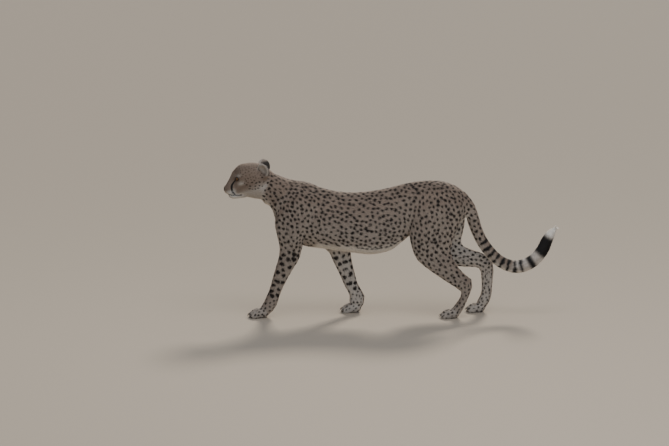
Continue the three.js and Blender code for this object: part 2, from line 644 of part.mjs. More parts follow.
// The cup of an ear above the scalp, and its foot, which stays in one piece with the head.
function earPieces(side, face) {
  const whole = ear(side);
  const up = new THREE.Vector3(-0.05, side * 0.41, 0.91).normalize();
  const at = new THREE.Vector3(EAR.base.x, side * EAR.base.y, EAR.base.z).addScaledVector(up, 20);
  return {
    cup: largest(whole.intersect(ahead(at, up)).subtract(face)),
    foot: whole.intersect(ahead(at, up.clone().negate())),
  };
}

// Opens the lids over both eyes, the nostrils and the groove of the upper lip.
function opened(solid) {
  let rest = solid.subtract(philtrum());
  for (const side of [LEFT, RIGHT]) {
    rest = rest.subtract(eyeball(side, EYE_RADIUS + GAP, EYE_SEGMENTS)).subtract(openingAt(side));
    rest = rest.subtract(nostril(side));
  }
  return rest;
}

// Parts the shoulders and haunches from the trunk, and gives what is left of it.
function uppersFrom(trunkSolid, limbs) {
  const LEAN = 0.11;
  let torso = trunkSolid;
  for (const [name, { side, outline, inner }] of Object.entries(LIMBS)) {
    limbs[name].pieces[0] = largest(torso.intersect(limbBlock(side, outline, inner, LEAN, 0)));
    torso = torso.subtract(limbBlock(side, outline, inner, LEAN, GAP));
  }
  return largest(torso);
}

function limbParts(limbs) {
  const parts = {};
  for (const [name, { parts: names }] of Object.entries(LIMBS)) {
    names.forEach((part, i) => {
      parts[`${name}_${part}`] = limbs[name].pieces[i];
    });
    limbs[name].claws.forEach((solid, i) => {
      parts[`${name}_claw_${i + 1}`] = solid;
    });
  }
  return parts;
}

function build() {
  const { root, parts: tailParts } = tailPieces();
  const limbs = Object.fromEntries(Object.keys(LIMBS).map((name) => [name, limbPieces(name)]));
  const uppers = Object.values(limbs).map(({ pieces }) => pieces[0]);
  const face = join([skull(), jaw(), nose(), eyeball(LEFT, EYE_RADIUS + LID, EYE_SEGMENTS),
    eyeball(RIGHT, EYE_RADIUS + LID, EYE_SEGMENTS)]);
  const ears = { left: earPieces(LEFT, face), right: earPieces(RIGHT, face) };
  const whole = opened(join([solidOf(trunk()), root, ...uppers, face, ears.left.foot, ears.right.foot]));

  const [behindHead, head] = halves(whole, [-614, 636], [-0.904, 0.428]);
  const [trunkSolid, neck] = halves(behindHead, [-531, 607], [-0.765, 0.644]);
  const torso = uppersFrom(trunkSolid, limbs);
  return {
    ...tailParts,
    head,
    neck,
    torso,
    ...limbParts(limbs),
    ear_left: ears.left.cup,
    ear_right: ears.right.cup,
    eye_left: eyeball(LEFT, EYE_RADIUS, EYE_SEGMENTS),
    eye_right: eyeball(RIGHT, EYE_RADIUS, EYE_SEGMENTS),
  };
}

// The origin is on the floor, under the middle of the animal.
const cheetah = new THREE.Group();
const SLOTS = {
  fur: new THREE.MeshStandardMaterial({ color: 0xb98f5e, roughness: 0.9 }),
  eye: new THREE.MeshStandardMaterial({ color: 0x7a4a18, roughness: 0.1 }),
  claw: new THREE.MeshStandardMaterial({ color: 0x3a3029, roughness: 0.5 }),
};
const slotOf = (name) => (name.startsWith('eye') ? 'eye' : name.includes('claw') ? 'claw' : 'fur');
const geometries = Object.entries(build()).map(([name, solid]) => [name, geometryOf(solid)]);
const bounds = new THREE.Box3();
for (const [, geometry] of geometries) {
  geometry.computeBoundingBox();
  bounds.union(geometry.boundingBox);
}
const middle = bounds.getCenter(new THREE.Vector3());
for (const [name, geometry] of geometries) {
  geometry.translate(-middle.x, -middle.y, 0);
  const mesh = new THREE.Mesh(geometry, SLOTS[slotOf(name)].clone());
  mesh.name = name;
  cheetah.add(mesh);
}

export default cheetah;
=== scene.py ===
# %% [markdown]
# ## The frame
# This scene shows a life-size model of a cheetah in mid walk. It starts from the model's imported solids,
# which give the true outline of each part of the body. A body could also be sculpted here from nothing, but
# then its size and pose would be a guess. Everything is in metres, Z is up, the animal walks towards -X,
# and its left side faces -Y.

# %% The frame
import math

import bmesh
import bpy
import numpy as np
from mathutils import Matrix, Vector, kdtree
from mathutils.bvhtree import BVHTree


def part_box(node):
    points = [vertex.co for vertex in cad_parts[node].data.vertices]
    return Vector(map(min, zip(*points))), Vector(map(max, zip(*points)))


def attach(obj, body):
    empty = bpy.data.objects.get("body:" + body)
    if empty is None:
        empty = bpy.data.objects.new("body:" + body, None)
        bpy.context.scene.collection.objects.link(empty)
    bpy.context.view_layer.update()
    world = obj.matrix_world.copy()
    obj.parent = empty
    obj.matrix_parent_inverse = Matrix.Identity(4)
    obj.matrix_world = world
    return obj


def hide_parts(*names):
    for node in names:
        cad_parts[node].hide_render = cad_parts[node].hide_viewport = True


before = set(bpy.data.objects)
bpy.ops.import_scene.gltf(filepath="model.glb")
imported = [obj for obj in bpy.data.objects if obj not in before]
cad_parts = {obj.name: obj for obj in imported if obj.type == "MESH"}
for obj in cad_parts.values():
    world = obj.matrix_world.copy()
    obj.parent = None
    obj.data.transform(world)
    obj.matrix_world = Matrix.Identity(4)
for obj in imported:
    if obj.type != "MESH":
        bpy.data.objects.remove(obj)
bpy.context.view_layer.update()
scene = bpy.context.scene
rng = np.random.default_rng(71)

# %% [markdown]
# ## Millimetres of the body's own drawing
# The body was drawn in millimetres, with the floor at zero and the right eyeball at a known place. Sizes
# could be given in metres of the frame instead, but joints, lips and spots were measured in the drawing,
# and whole millimetres are easier to read. Two short functions turn the drawing into the frame and back.

# %% Millimetres of the body's own drawing
EYE = np.array([-738.5, 35.5, 682.0])
LEFT = -1
RIGHT = 1
eye_low, eye_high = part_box("eye_right")
SHIFT = (eye_low.x + eye_high.x) / 2 * 1000 - EYE[0]


def to_frame(points):
    return (np.asarray(points, float) + [SHIFT, 0, 0]) / 1000


def to_drawing(points):
    return np.asarray(points, float) * 1000 - [SHIFT, 0, 0]


print("the drawing is moved by", round(SHIFT, 2), "mm")

# %% [markdown]
# ## The camera
# A walking animal is best seen from its side. A camera close by would make the near legs look much larger
# than the far ones, so this one stands sixteen metres off with a long lens and looks down by eleven
# degrees. Its place and lens follow from how many picture elements one metre of the animal should fill.

# %% The camera
PICTURE_WIDTH = 669
PICTURE_HEIGHT = 446
PIXELS_PER_M = 205.0
CAMERA_UP = math.radians(11)
CAMERA_FAR = 16.0
SENSOR_WIDTH = 36
# where the drawing's zero and the floor are in the picture, right from its left edge and down from its top
ZERO_RIGHT = 391
FLOOR_DOWN = 315

middle_x = (PICTURE_WIDTH / 2 - ZERO_RIGHT) / PIXELS_PER_M + SHIFT / 1000
middle_z = (FLOOR_DOWN - PICTURE_HEIGHT / 2) / PIXELS_PER_M / math.cos(CAMERA_UP)
aim_at = Vector((middle_x, 0, middle_z))
camera = bpy.data.objects.new("camera", bpy.data.cameras.new("camera"))
camera.location = aim_at + Vector((0, -math.cos(CAMERA_UP), math.sin(CAMERA_UP))) * CAMERA_FAR
camera.rotation_euler = (math.pi / 2 - CAMERA_UP, 0, 0)
camera.data.lens = SENSOR_WIDTH * CAMERA_FAR / (PICTURE_WIDTH / PIXELS_PER_M)
camera.data.clip_end = 200
scene.collection.objects.link(camera)
scene.camera = camera
print("camera at", [round(v, 2) for v in camera.location], "lens", round(camera.data.lens, 1))

# %% [markdown]
# ## The light
# Fur shows its form best when light comes from behind and gives it a bright rim, as the sun does in the
# open. A single hard lamp would leave the near side black, so a sun-like lamp with a wide disc stands
# behind the animal, and a pale room and two weak broad lamps fill the shaded side.

# %% The light
LAMPS_AIM_AT = Vector((-0.1, 0, 0.45))


def area_lamp(name, place, size, power, colour):
    lamp = bpy.data.lights.new(name, "AREA")
    lamp.size = size
    lamp.energy = power
    lamp.color = colour
    ob = bpy.data.objects.new(name, lamp)
    ob.location = place
    ob.rotation_euler = (LAMPS_AIM_AT - Vector(place)).to_track_quat("-Z", "Y").to_euler()
    scene.collection.objects.link(ob)


area_lamp("lamp_above", (0.2, -1.2, 3.6), 2.0, 36, (1.0, 0.97, 0.95))
area_lamp("lamp_front", (1.4, -5.0, 1.8), 3.0, 46, (0.82, 0.9, 1.0))
sun = bpy.data.objects.new("lamp_behind", bpy.data.lights.new("lamp_behind", "SUN"))
sun.data.energy = 2.7
sun.data.angle = math.radians(14)
sun.data.color = (1.0, 0.93, 0.82)
sun.rotation_euler = Vector((0.30, 1.0, 0.78)).to_track_quat("Z", "Y").to_euler()
scene.collection.objects.link(sun)
world = bpy.data.worlds.new("room")
world.use_nodes = True
world.node_tree.nodes["Background"].inputs["Color"].default_value = (0.78, 0.87, 1.0, 1)
world.node_tree.nodes["Background"].inputs["Strength"].default_value = 0.42
scene.world = world
scene.view_settings.view_transform = "AgX"

# %% [markdown]
# ## The floor
# The model stands on a plain pale floor. A curved backdrop would need a place where it bends, so the floor
# simply runs on far past the edge of the picture. It is no part of the animal. Like the eyes, whiskers and
# tufts below it is made from lists of points and faces: modelling operators would be slow for hundreds of
# thousands of tufts, so one helper writes whole arrays into a new mesh.

# %% The floor
FLOOR_REACH = 90


def mesh_object(name, points, faces):
    me = bpy.data.meshes.new(name)
    faces = np.asarray(faces, np.int32)
    me.vertices.add(len(points))
    me.vertices.foreach_set("co", np.asarray(points, np.float32).ravel())
    me.loops.add(faces.size)
    me.loops.foreach_set("vertex_index", faces.ravel())
    me.polygons.add(len(faces))
    me.polygons.foreach_set("loop_start", np.arange(0, faces.size, faces.shape[1], dtype=np.int32))
    me.update(calc_edges=True)
    me.shade_smooth()
    ob = bpy.data.objects.new(name, me)
    scene.collection.objects.link(ob)
    return ob


def plain_paint(name, colour, roughness, coat=0.0):
    made = bpy.data.materials.new(name)
    made.use_nodes = True
    shader = made.node_tree.nodes["Principled BSDF"]
    shader.inputs["Base Color"].default_value = (*colour, 1)
    shader.inputs["Roughness"].default_value = roughness
    shader.inputs["Coat Weight"].default_value = coat
    return made


corners = [(x, y, 0) for x in (-FLOOR_REACH, FLOOR_REACH) for y in (-FLOOR_REACH, FLOOR_REACH)]
floor = mesh_object("floor", corners, [(0, 2, 3, 1)])
floor.data.materials.append(plain_paint("floor_paint", (0.44, 0.37, 0.29), 0.9))
print("floor of", 2 * FLOOR_REACH, "m")

# %% [markdown]
# ## One closed surface
# A real skin has no seams. The solids of the flesh could be joined by booleans, but that keeps every facet
# edge and fails where faces touch. Here they are taken together and wrapped in one fine mesh of small
# square cells. The parts are first grown by a third of a millimetre, which closes the cuts between them.
# Eyes and claws are left out, because they are separate on the animal too.

# %% One closed surface
FLESH = sorted(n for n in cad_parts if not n.startswith("eye_") and "claw" not in n)
FULL_CELL = 0.0023
CELL = FULL_CELL
GROW = 0.0003


def read_mesh(me):
    me.calc_loop_triangles()
    co = np.zeros(len(me.vertices) * 3, np.float32)
    no = np.zeros(len(me.vertices) * 3, np.float32)
    tri = np.zeros(len(me.loop_triangles) * 3, np.int32)
    me.vertices.foreach_get("co", co)
    me.vertex_normals.foreach_get("vector", no)
    me.loop_triangles.foreach_get("vertices", tri)
    return co.reshape(-1, 3).astype(float), no.reshape(-1, 3).astype(float), tri.reshape(-1, 3)


def apply_modifiers(ob):
    graph = bpy.context.evaluated_depsgraph_get()
    me = bpy.data.meshes.new_from_object(ob.evaluated_get(graph))
    ob.modifiers.clear()
    ob.data = me


solid_points, solid_tris, solid_part, start = [], [], [], 0
for index, node in enumerate(FLESH):
    co, no, tri = read_mesh(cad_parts[node].data)
    solid_points.append(co + no * GROW)
    solid_tris.append(tri + start)
    solid_part += [index] * len(tri)
    start += len(co)
solid_points = np.concatenate(solid_points)
solid_tris = np.concatenate(solid_tris)
skin = mesh_object("skin", solid_points, solid_tris)
wrap = skin.modifiers.new("wrap", "REMESH")
wrap.mode = "VOXEL"
wrap.voxel_size = CELL
apply_modifiers(skin)
surface, _, _ = read_mesh(skin.data)
print("the wrap has", len(surface), "points")

# %% [markdown]
# ## Which part each point belongs to
# The lie of the hair, its length and its colour are all told by part of the body. The wrap has lost the
# names. Groups could be marked by hand, but would be lost whenever the solids change, so each point of the
# wrap asks for the nearest solid and keeps that solid's number.

# %% Which part each point belongs to
solid_tree = BVHTree.FromPolygons(solid_points.tolist(), solid_tris.tolist())
part = np.array(solid_part)[[solid_tree.find_nearest(p)[2] for p in surface.tolist()]]


def of_part(is_wanted):
    """A yes or no for each point of the surface from a question about its part's name."""
    return np.array([is_wanted(n) for n in FLESH])[part]


def by_part(table, default):
    """One value for each point from a table of part name beginnings."""
    found = [next((v for k, v in table.items() if n.startswith(k)), default) for n in FLESH]
    return np.array(found, float)[part]


is_paw = of_part(lambda n: "paw" in n)
print("parts", len(FLESH), "points on paws", int(is_paw.sum()))

# %% [markdown]
# ## Blurring over the surface
# Many values have to change softly from one part to the next: the form itself, the lie of the hair and its
# length. A blur in space would mix two legs that pass close by, so this one follows the surface's own net
# of edges: in each round every value moves towards the mean of its neighbours.

# %% Blurring over the surface
edges = np.zeros(len(skin.data.edges) * 2, np.int32)
skin.data.edges.foreach_get("vertices", edges)
ends = edges.reshape(-1, 2)
source = np.concatenate([ends[:, 0], ends[:, 1]])
target = np.concatenate([ends[:, 1], ends[:, 0]])[np.argsort(source, kind="stable")]
count = np.bincount(source, minlength=len(surface))
first = np.concatenate([[0], np.cumsum(count)[:-1]])


def blur(values, rounds, rate=0.9):
    """Each round moves every value towards the mean of its neighbours on the surface."""
    flat = np.atleast_2d(np.asarray(values, np.float32).T).copy()
    for _ in range(rounds):
        mean = np.add.reduceat(flat[:, target], first, axis=1) / np.maximum(count, 1)
        flat += (mean - flat) * rate
    return flat.T if np.ndim(values) > 1 else flat[0]


def step(low, high, value):
    """A soft step from 0 at low to 1 at high."""
    t = np.clip((value - low) / (high - low), 0, 1)
    return t * t * (3 - 2 * t)


print("edges", len(ends))

# %% [markdown]
# ## Rounding the form
# The solids are faceted, and flesh is not. Plain smoothing would remove the facets and also thin the legs,
# so what it takes away is itself smoothed and given back, twice. The trunk and limbs are smoothed at the
# full rate, while face, ears and paws hardly are, to keep lids and toes.

# %% Rounding the form
ROUNDS = round(80 * (FULL_CELL / CELL) ** 2)
BACK_OF_HEAD = -655
drawn = to_drawing(surface)
soften = by_part({"head": 0.06, "ear": 0.04, "tail": 0.5}, 1.0)
soften = np.where(is_paw, 0.12, soften)
soften = np.where(of_part(lambda n: "foot" in n), 0.5, soften)
soften = np.where(drawn[:, 0] > BACK_OF_HEAD, np.maximum(soften, 0.5 * by_part({"head": 1}, 0)), soften)
soften = blur(soften, 12)
rounded = blur(surface, ROUNDS, 0.9 * soften)
for _ in range(2):
    rounded = rounded + blur(surface - rounded, ROUNDS, 0.9 * soften)
print("moved by up to", round(float(np.abs(rounded - surface).max()) * 1000, 1), "mm")
surface = rounded.astype(float)

# %% [markdown]
# ## Axes of the head
# The head points down by twenty-two degrees. Its forms and markings could be placed along X and Z, but they
# are easier to read on axes of its own: how far behind the tip of the nose a place is, and how high above
# it.

# %% Axes of the head
HEAD_TILT = math.radians(22)
NOSE = np.array([-812.0, 0, 618.0])


def head_place(points):
    """How far behind the tip of the nose and how high above it each place of the drawing is."""
    dx = points[..., 0] - NOSE[0]
    dz = points[..., 2] - NOSE[2]
    behind = math.cos(HEAD_TILT) * dx + math.sin(HEAD_TILT) * dz
    above = -math.sin(HEAD_TILT) * dx + math.cos(HEAD_TILT) * dz
    return behind, above


def from_head(behind, above):
    """The place of the side view that is so far behind and above the tip of the nose."""
    return (NOSE[0] + math.cos(HEAD_TILT) * behind - math.sin(HEAD_TILT) * above,
            NOSE[2] + math.sin(HEAD_TILT) * behind + math.cos(HEAD_TILT) * above)


print("nose to eye", [round(float(v), 1) for v in head_place(EYE)])

# %% [markdown]
# ## Muscle under the skin
# A cheetah is lean, and its shoulder blade, upper arm, thigh and tendons show through the coat. They could
# be sculpted by hand, but a list can be read and changed: each one is a soft ridge or hollow along a short
# line of the side view, raised or sunk by a few millimetres and fading out round it. The two sides have
# their own lines, because their legs are in different places of the stride.

# %% Muscle under the skin
BOTH = 0
# side, (x, z) of both ends, radius, height
MUSCLES = [
    (BOTH, (-440, 645), (-540, 512), 24, 4.5), (BOTH, (-398, 622), (-452, 500), 17, -3.5),
    (LEFT, (-468, 480), (-470, 400), 34, 5), (LEFT, (-466, 372), (-462, 362), 13, 3.5),
    (LEFT, (-428, 430), (-424, 370), 15, -4), (LEFT, (-515, 340), (-566, 190), 15, 2.5),
    (LEFT, (-560, 470), (-545, 400), 20, 2.5), (LEFT, (-590, 96), (-600, 84), 14, 2.5),
    (RIGHT, (-400, 470), (-300, 400), 34, 4), (RIGHT, (-250, 330), (-246, 318), 14, 3),
    (BOTH, (70, 560), (70, 450), 34, -4.5), (BOTH, (212, 640), (230, 628), 18, 4),
    (LEFT, (215, 560), (150, 400), 44, 6), (LEFT, (318, 560), (262, 400), 36, 4),
    (LEFT, (275, 560), (225, 400), 13, -3.5), (LEFT, (146, 350), (150, 338), 17, 3.5),
    (LEFT, (318, 170), (326, 164), 10, 3), (LEFT, (285, 225), (312, 190), 11, -3.5),
    (RIGHT, (230, 560), (200, 400), 44, 5), (RIGHT, (350, 560), (360, 400), 36, 4),
    (RIGHT, (190, 330), (200, 320), 17, 3.5), (RIGHT, (474, 246), (484, 240), 10, 3),
    (BOTH, (-640, 640), (-575, 545), 17, 3), (BOTH, (-610, 690), (-520, 655), 20, 1.5),
]
RIBS = 7
RIB_GAP = 42
for rib in range(RIBS):
    back = rib * RIB_GAP
    MUSCLES.append((BOTH, (-350 + back, 520), (-318 + back, 385), 8, 1.1))
LEANNESS = 1.5


def along_line(points, start, end):
    """Distance of each point from the straight line between two places, in their own number of axes."""
    start = np.asarray(start, float)
    run = np.asarray(end, float) - start
    share = np.clip((points - start) @ run / max(run @ run, 1e-9), 0, 1)
    return np.linalg.norm(points - start - share[:, None] * run, axis=1)


def normals_of(points):
    skin.data.vertices.foreach_set("co", points.astype(np.float32).ravel())
    skin.data.update()
    return read_mesh(skin.data)[1]


normal = normals_of(surface)
drawn = to_drawing(surface)
side_view = drawn[:, [0, 2]]
sideways = np.clip(np.abs(normal[:, 1]) * 1.3, 0, 1)
raised = np.zeros(len(surface))
for side, start, end, radius, height in MUSCLES:
    on_side = sideways if side == BOTH else sideways * (surface[:, 1] * side > 0)
    raised += LEANNESS * on_side * height * np.exp(-(along_line(side_view, start, end) / radius) ** 2)
print("muscle", round(raised.min(), 1), "to", round(raised.max(), 1), "mm")

# %% [markdown]
# ## Forms of the face
# Whisker pads, chin, brow, cheekbone and the hollow in front of the eye are what make a face. An image
# could raise them, but it would tie them to one mesh. They are soft bumps like the muscles, but round, and
# given on the head's own axes. The tear line runs in a shallow groove.

# %% Forms of the face
TEAR = [(-751, 678), (-758, 673), (-767, 663), (-774, 651),
        (-776, 638), (-773, 625), (-767, 613), (-760, 603)]
# behind the nose, above it, radius, height
FACE_FORMS = [
    (27, -17, 13, 3.4), (24, -42, 9, 1.5), (96, 50, 9, 2.6), (70, 32, 9, -3.0), (86, 11, 8, 1.2),
    (118, -2, 18, 3.0), (132, 66, 20, -3.0), (148, -48, 22, 2.0), (102, -30, 15, -2.0),
]
WHISKER_PAD = (-797, 14, 608)
WHISKER_PAD_RADIUS = 10
WHISKER_PAD_HEIGHT = 3.2
TEAR_GROOVE_RADIUS = 7
TEAR_GROOVE_DEPTH = 2.6

on_head_axes = np.stack(head_place(drawn), 1)
for place in FACE_FORMS:
    far = np.linalg.norm(on_head_axes - place[:2], axis=1)
    raised += sideways * place[3] * np.exp(-(far / place[2]) ** 2) * (on_head_axes[:, 0] < 200)
mirrored = drawn * [1, 0, 1] + np.abs(drawn) * [0, 1, 0]
far = np.linalg.norm(mirrored - WHISKER_PAD, axis=1)
raised += WHISKER_PAD_HEIGHT * np.exp(-(far / WHISKER_PAD_RADIUS) ** 2)
far = np.min([along_line(side_view, p, q) for p, q in zip(TEAR[1:-1], TEAR[2:])], axis=0)
groove = np.exp(-(far / TEAR_GROOVE_RADIUS) ** 2) * of_part(lambda n: n == "head")
raised -= TEAR_GROOVE_DEPTH * sideways * groove
surface = surface + normal * blur(raised, 8)[:, None] / 1000
normal = normals_of(surface)
print("face and muscle", round(raised.min(), 1), "to", round(raised.max(), 1), "mm")

# %% [markdown]
# ## Along the tail
# Rings and brush are told by how far down the tail a place is. The height or the distance from the body
# would fail where the tail curves up again, so the distance is measured along the tail's own bent line.

# %% Along the tail
TAIL = np.array([
    (325, 592), (372, 540), (398, 482), (417, 426), (442, 372), (476, 322), (516, 280), (560, 252),
    (610, 240), (660, 250), (704, 277), (737, 319), (759, 364), (780, 402), (794, 421),
], float)


def unit(vectors):
    return vectors / np.maximum(np.linalg.norm(vectors, axis=-1, keepdims=True), 1e-9)


def tail_place(x, z):
    """How far down the tail each point of the side view is, from 0 to 1, and the tail's direction there."""
    points = np.stack([x, z], 1)
    nearest = np.stack([along_line(points, a, b) for a, b in zip(TAIL[:-1], TAIL[1:])]).argmin(0)
    run = TAIL[1:] - TAIL[:-1]
    length = np.linalg.norm(run, axis=1)
    here = points - TAIL[nearest]
    share = np.clip((here * run[nearest]).sum(1) / length[nearest] ** 2, 0, 1)
    before = np.concatenate([[0], np.cumsum(length)])
    return (before[nearest] + share * length[nearest]) / before[-1], unit(run)[nearest]


drawn = to_drawing(surface)
x, y, z = drawn.T
tail_at, tail_run = tail_place(x, z)
print("tail", round(float(np.linalg.norm(TAIL[1:] - TAIL[:-1], axis=1).sum())), "mm long")

# %% [markdown]
# ## The lie of the coat
# Hair does not stand up: it grows back from the nose, down the neck and sides, down each limb and along the
# tail. Combing it by hand would be long work, so each part has its own direction, and blurring over the
# surface turns one into the next, as whorls and partings on a real coat do. Only at the very end of the
# tail does it stand out.

# %% The lie of the coat
LIE = {
    "fore_left_shoulder": (0.45, -0.9), "fore_left_forearm": (-0.3, -0.95), "fore_left_paw": (-0.8, -0.6),
    "fore_right_shoulder": (0.7, -0.7), "fore_right_forearm": (0.45, -0.9), "fore_right_paw": (-0.6, -0.8),
    "hind_left_thigh": (0.35, -0.95), "hind_left_shank": (0.67, -0.74), "hind_left_foot": (-0.1, -1),
    "hind_left_paw": (-0.85, -0.5), "hind_right_thigh": (0.4, -0.9), "hind_right_shank": (0.95, -0.3),
    "hind_right_foot": (-0.17, -1), "hind_right_paw": (-0.85, -0.5), "neck": (0.8, -0.6), "ear": (0.25, 1),
}
BRUSH_FROM = 0.93

head = of_part(lambda n: n.startswith("head"))
ear = of_part(lambda n: n.startswith("ear"))
neck = of_part(lambda n: n.startswith("neck"))
torso = of_part(lambda n: n.startswith("torso"))
tail = of_part(lambda n: n.startswith("tail"))
lie = np.zeros_like(surface)
lie[:] = (1, 0, -0.35)
for name, (forward, up) in LIE.items():
    lie[of_part(lambda n: n.startswith(name))] = (forward, 0, up)
lie[torso & (x < -520) & (normal[:, 0] < -0.3)] = (0.3, 0, -1)
lie[head] = unit(drawn - NOSE - (-14, 0, 6))[head] + (0.5, 0, 0)
lie[tail] = np.stack([tail_run[:, 0], 0 * x, tail_run[:, 1]], 1)[tail]
lie = blur(unit(lie), 20)
outward = (lie * normal).sum(1)
lie = lie - normal * outward[:, None]
flatness = np.linalg.norm(lie, axis=1)
brush = (tail & (tail_at > BRUSH_FROM)) * step(0.6, 0.3, flatness) * (outward > 0)
lie = unit(unit(lie) + 2 * normal * brush[:, None])
print("points of the brush", int((brush > 0.5).sum()))

# %% [markdown]
# ## Length and depth of the coat
# The solids show the outside of the coat, so the skin lies a little inside them: under two millimetres on
# face and feet, about four on the trunk and up to seven at the belly's fringe. One even depth would be
# simpler, but it would bury the toes and the lids. The depth is a share of the hair's length, which is told
# by part and grows along the crest of the neck and under the belly.

# %% Length and depth of the coat
HAIR = {
    "head": 5.5, "ear": 3.6, "neck": 13, "torso": 14, "tail_base": 12, "tail_middle": 13, "tail_end": 18,
    "tail_tip": 26, "fore_left_shoulder": 12, "fore_right_shoulder": 12, "fore_left_forearm": 9,
    "fore_right_forearm": 9, "hind_left_thigh": 13, "hind_right_thigh": 13, "hind_left_shank": 9,
    "hind_right_shank": 9, "hind_left_foot": 6.5, "hind_right_foot": 6.5,
}
FRINGE = 9
CREST = 9
DEPTH_OF_HAIR = 0.3

hair = by_part(HAIR, 5)
hair = hair + torso * (x > -440) * step(-0.25, -0.8, normal[:, 2]) * FRINGE
hair = hair + CREST * step(0.45, 0.85, normal[:, 2]) * step(-320, -400, x) * (neck | torso)
hair = blur(hair, 25)
face = head * step(-660, -760, x)
hair = hair * (1 - 0.35 * face)
hair = hair * (1 - 0.3 * blur(is_paw.astype(float), 3))
depth = blur(np.where(ear, 1.0, hair * DEPTH_OF_HAIR), 8) / 1000
inner = surface - normal * depth[:, None]
print("hair", round(hair.min(), 1), "to", round(hair.max(), 1), "mm")
print("skin at most", round(depth.max() * 1000, 1), "mm inside")

# %% [markdown]
# ## The opening of the eye
# The lids leave an almond-shaped opening over a ball that looks forward and out. It could be cut as a hole,
# but its outline is needed three times, for the black bare edge of the lids, for the dark fur round it and
# for the start of the tear line. So it is drawn once, as a line of four curves that lies over the ball.

# %% The opening of the eye
EYE_RADIUS = 17.4
GAZE_OUT = math.radians(38)
OPENING = (30, 18)


def eye_axes(side):
    """The way an eye looks, the way to its outer corner and the way up."""
    gaze = unit(np.array([-math.cos(GAZE_OUT), side * math.sin(GAZE_OUT), 0.06]))
    back = np.array([math.sin(GAZE_OUT), side * math.cos(GAZE_OUT), 0])
    up = unit(np.cross(gaze, back) * -side)
    return gaze, back, up if up[2] > 0 else -up


def eye_centre(side):
    return EYE * [1, side, 1]


def bezier(start, a, b, end, count=7):
    t = np.linspace(0, 1, count, endpoint=False)[:, None]
    start, a, b, end = (np.array(v, float) for v in (start, a, b, end))
    return (1 - t) ** 3 * start + 3 * (1 - t) ** 2 * t * a + 3 * (1 - t) * t ** 2 * b + t ** 3 * end


def almond():
    """The outline of the opening between the lids: across (inner corner first) and up, in millimetres."""
    w, h = OPENING
    inner_corner = (-w / 2, -h * 0.3)
    outer_corner = (w / 2, 0)
    top = bezier(inner_corner, (-w * 0.3, h * 0.35), (-w * 0.12, h * 0.56), (w * 0.1, h * 0.52))
    top_back = bezier((w * 0.1, h * 0.52), (w * 0.3, h * 0.46), (w * 0.42, h * 0.26), outer_corner)
    low = bezier(outer_corner, (w * 0.36, -h * 0.36), (w * 0.1, -h * 0.54), (-w * 0.14, -h * 0.46))
    low_front = bezier((-w * 0.14, -h * 0.46), (-w * 0.28, -h * 0.42), (-w * 0.4, -h * 0.36), inner_corner)
    return np.concatenate([top, top_back, low, low_front])


def lid_line(side, lift=1.5):
    """The edge of the lids as a line over the eyeball, inner corner first."""
    gaze, back, up = eye_axes(side)
    outline = almond()
    level = np.sqrt((EYE_RADIUS + lift) ** 2 - (outline ** 2).sum(1))
    return outline[:, :1] * back + outline[:, 1:] * up + level[:, None] * gaze + eye_centre(side)


print("opening", OPENING, "mm")

# %% [markdown]
# ## Lines of the face
# The black tear line, the line of the mouth and the roots of the whiskers could be placed in space, but
# then they would float or sink wherever the face is reshaped. They are given on the side or front view
# instead and dropped onto the surface from both sides, which gives the same line on the left and the right.

# %% Lines of the face
MOUTH = [(-797, 602), (-790, 601), (-780, 600), (-768, 599.5), (-755, 599.5), (-740, 600), (-728, 602)]
LIP_FRONT = [(0.3, 603.5), (4, 602.5), (8, 602), (12, 601.5)]
WHISKER_ROWS = 4
WHISKERS_IN_ROW = 4
FAR_AWAY = 99.0
BESIDE = 300
AHEAD = -1200
FACE_ENDS = -690
surface_faces = [tuple(p.vertices) for p in skin.data.polygons]
surface_tree = BVHTree.FromPolygons(surface.tolist(), surface_faces)


def on_surface(line, side):
    """A line of the side view, dropped onto the surface from one side."""
    found = []
    for px, pz in line:
        start = Vector(to_frame([px, side * BESIDE, pz]))
        place, _, _, _ = surface_tree.ray_cast(start, Vector((0, -side, 0)))
        if place is not None and place.y * side > 0.001:
            found.append(to_drawing(place))
    return found


def on_front(line, side):
    """A line of the front view, dropped onto the face from ahead."""
    found = []
    for py, pz in line:
        start = Vector(to_frame([AHEAD, side * py, pz]))
        place, _, _, _ = surface_tree.ray_cast(start, Vector((1, 0, 0)))
        if place is not None:
            found.append(to_drawing(place))
    return found


def whisker_grid():
    """The roots on the pad beside the nose, row by row, on the side view."""
    return [from_head(16 + 7.5 * place + 1.5 * row, -8 - 5.5 * row)
            for row in range(WHISKER_ROWS) for place in range(WHISKERS_IN_ROW)]


tears = {side: on_surface(TEAR, side) for side in (LEFT, RIGHT)}
mouths = {side: on_front(LIP_FRONT, side) + on_surface(MOUTH, side) for side in (LEFT, RIGHT)}
rims = {side: list(lid_line(side)[list(range(len(almond()))) + [0]]) for side in (LEFT, RIGHT)}
whisker_roots = {side: on_surface(whisker_grid(), side) for side in (LEFT, RIGHT)}
whisker_dots = {(side, i): [p, p + 0.01] for side in whisker_roots for i, p in enumerate(whisker_roots[side])}


def line_distance(points, lines):
    """Distance of each point of the face from the nearest line; other points get a large one."""
    found = np.full(len(points), FAR_AWAY)
    near = np.flatnonzero(points[:, 0] < FACE_ENDS)
    for line in lines.values():
        for a, b in zip(line[:-1], line[1:]):
            found[near] = np.minimum(found[near], along_line(points[near], a, b))
    return found


print("tear line", len(tears[LEFT]), "mouth line", len(mouths[LEFT]), "places")

# %% [markdown]
# ## Where the spots are
# A cheetah's spots are solid, round and close together; they grow into blotches on the forearm and shrink
# to faint dots on the face. A noise texture gives streaks and no even spacing, so every spot gets a place
# of its own. Places are tried in a seeded random order and kept where they are far enough from those
# before. The pale belly and throat have none, nor have the last two thirds of the tail, which have bars and
# rings.

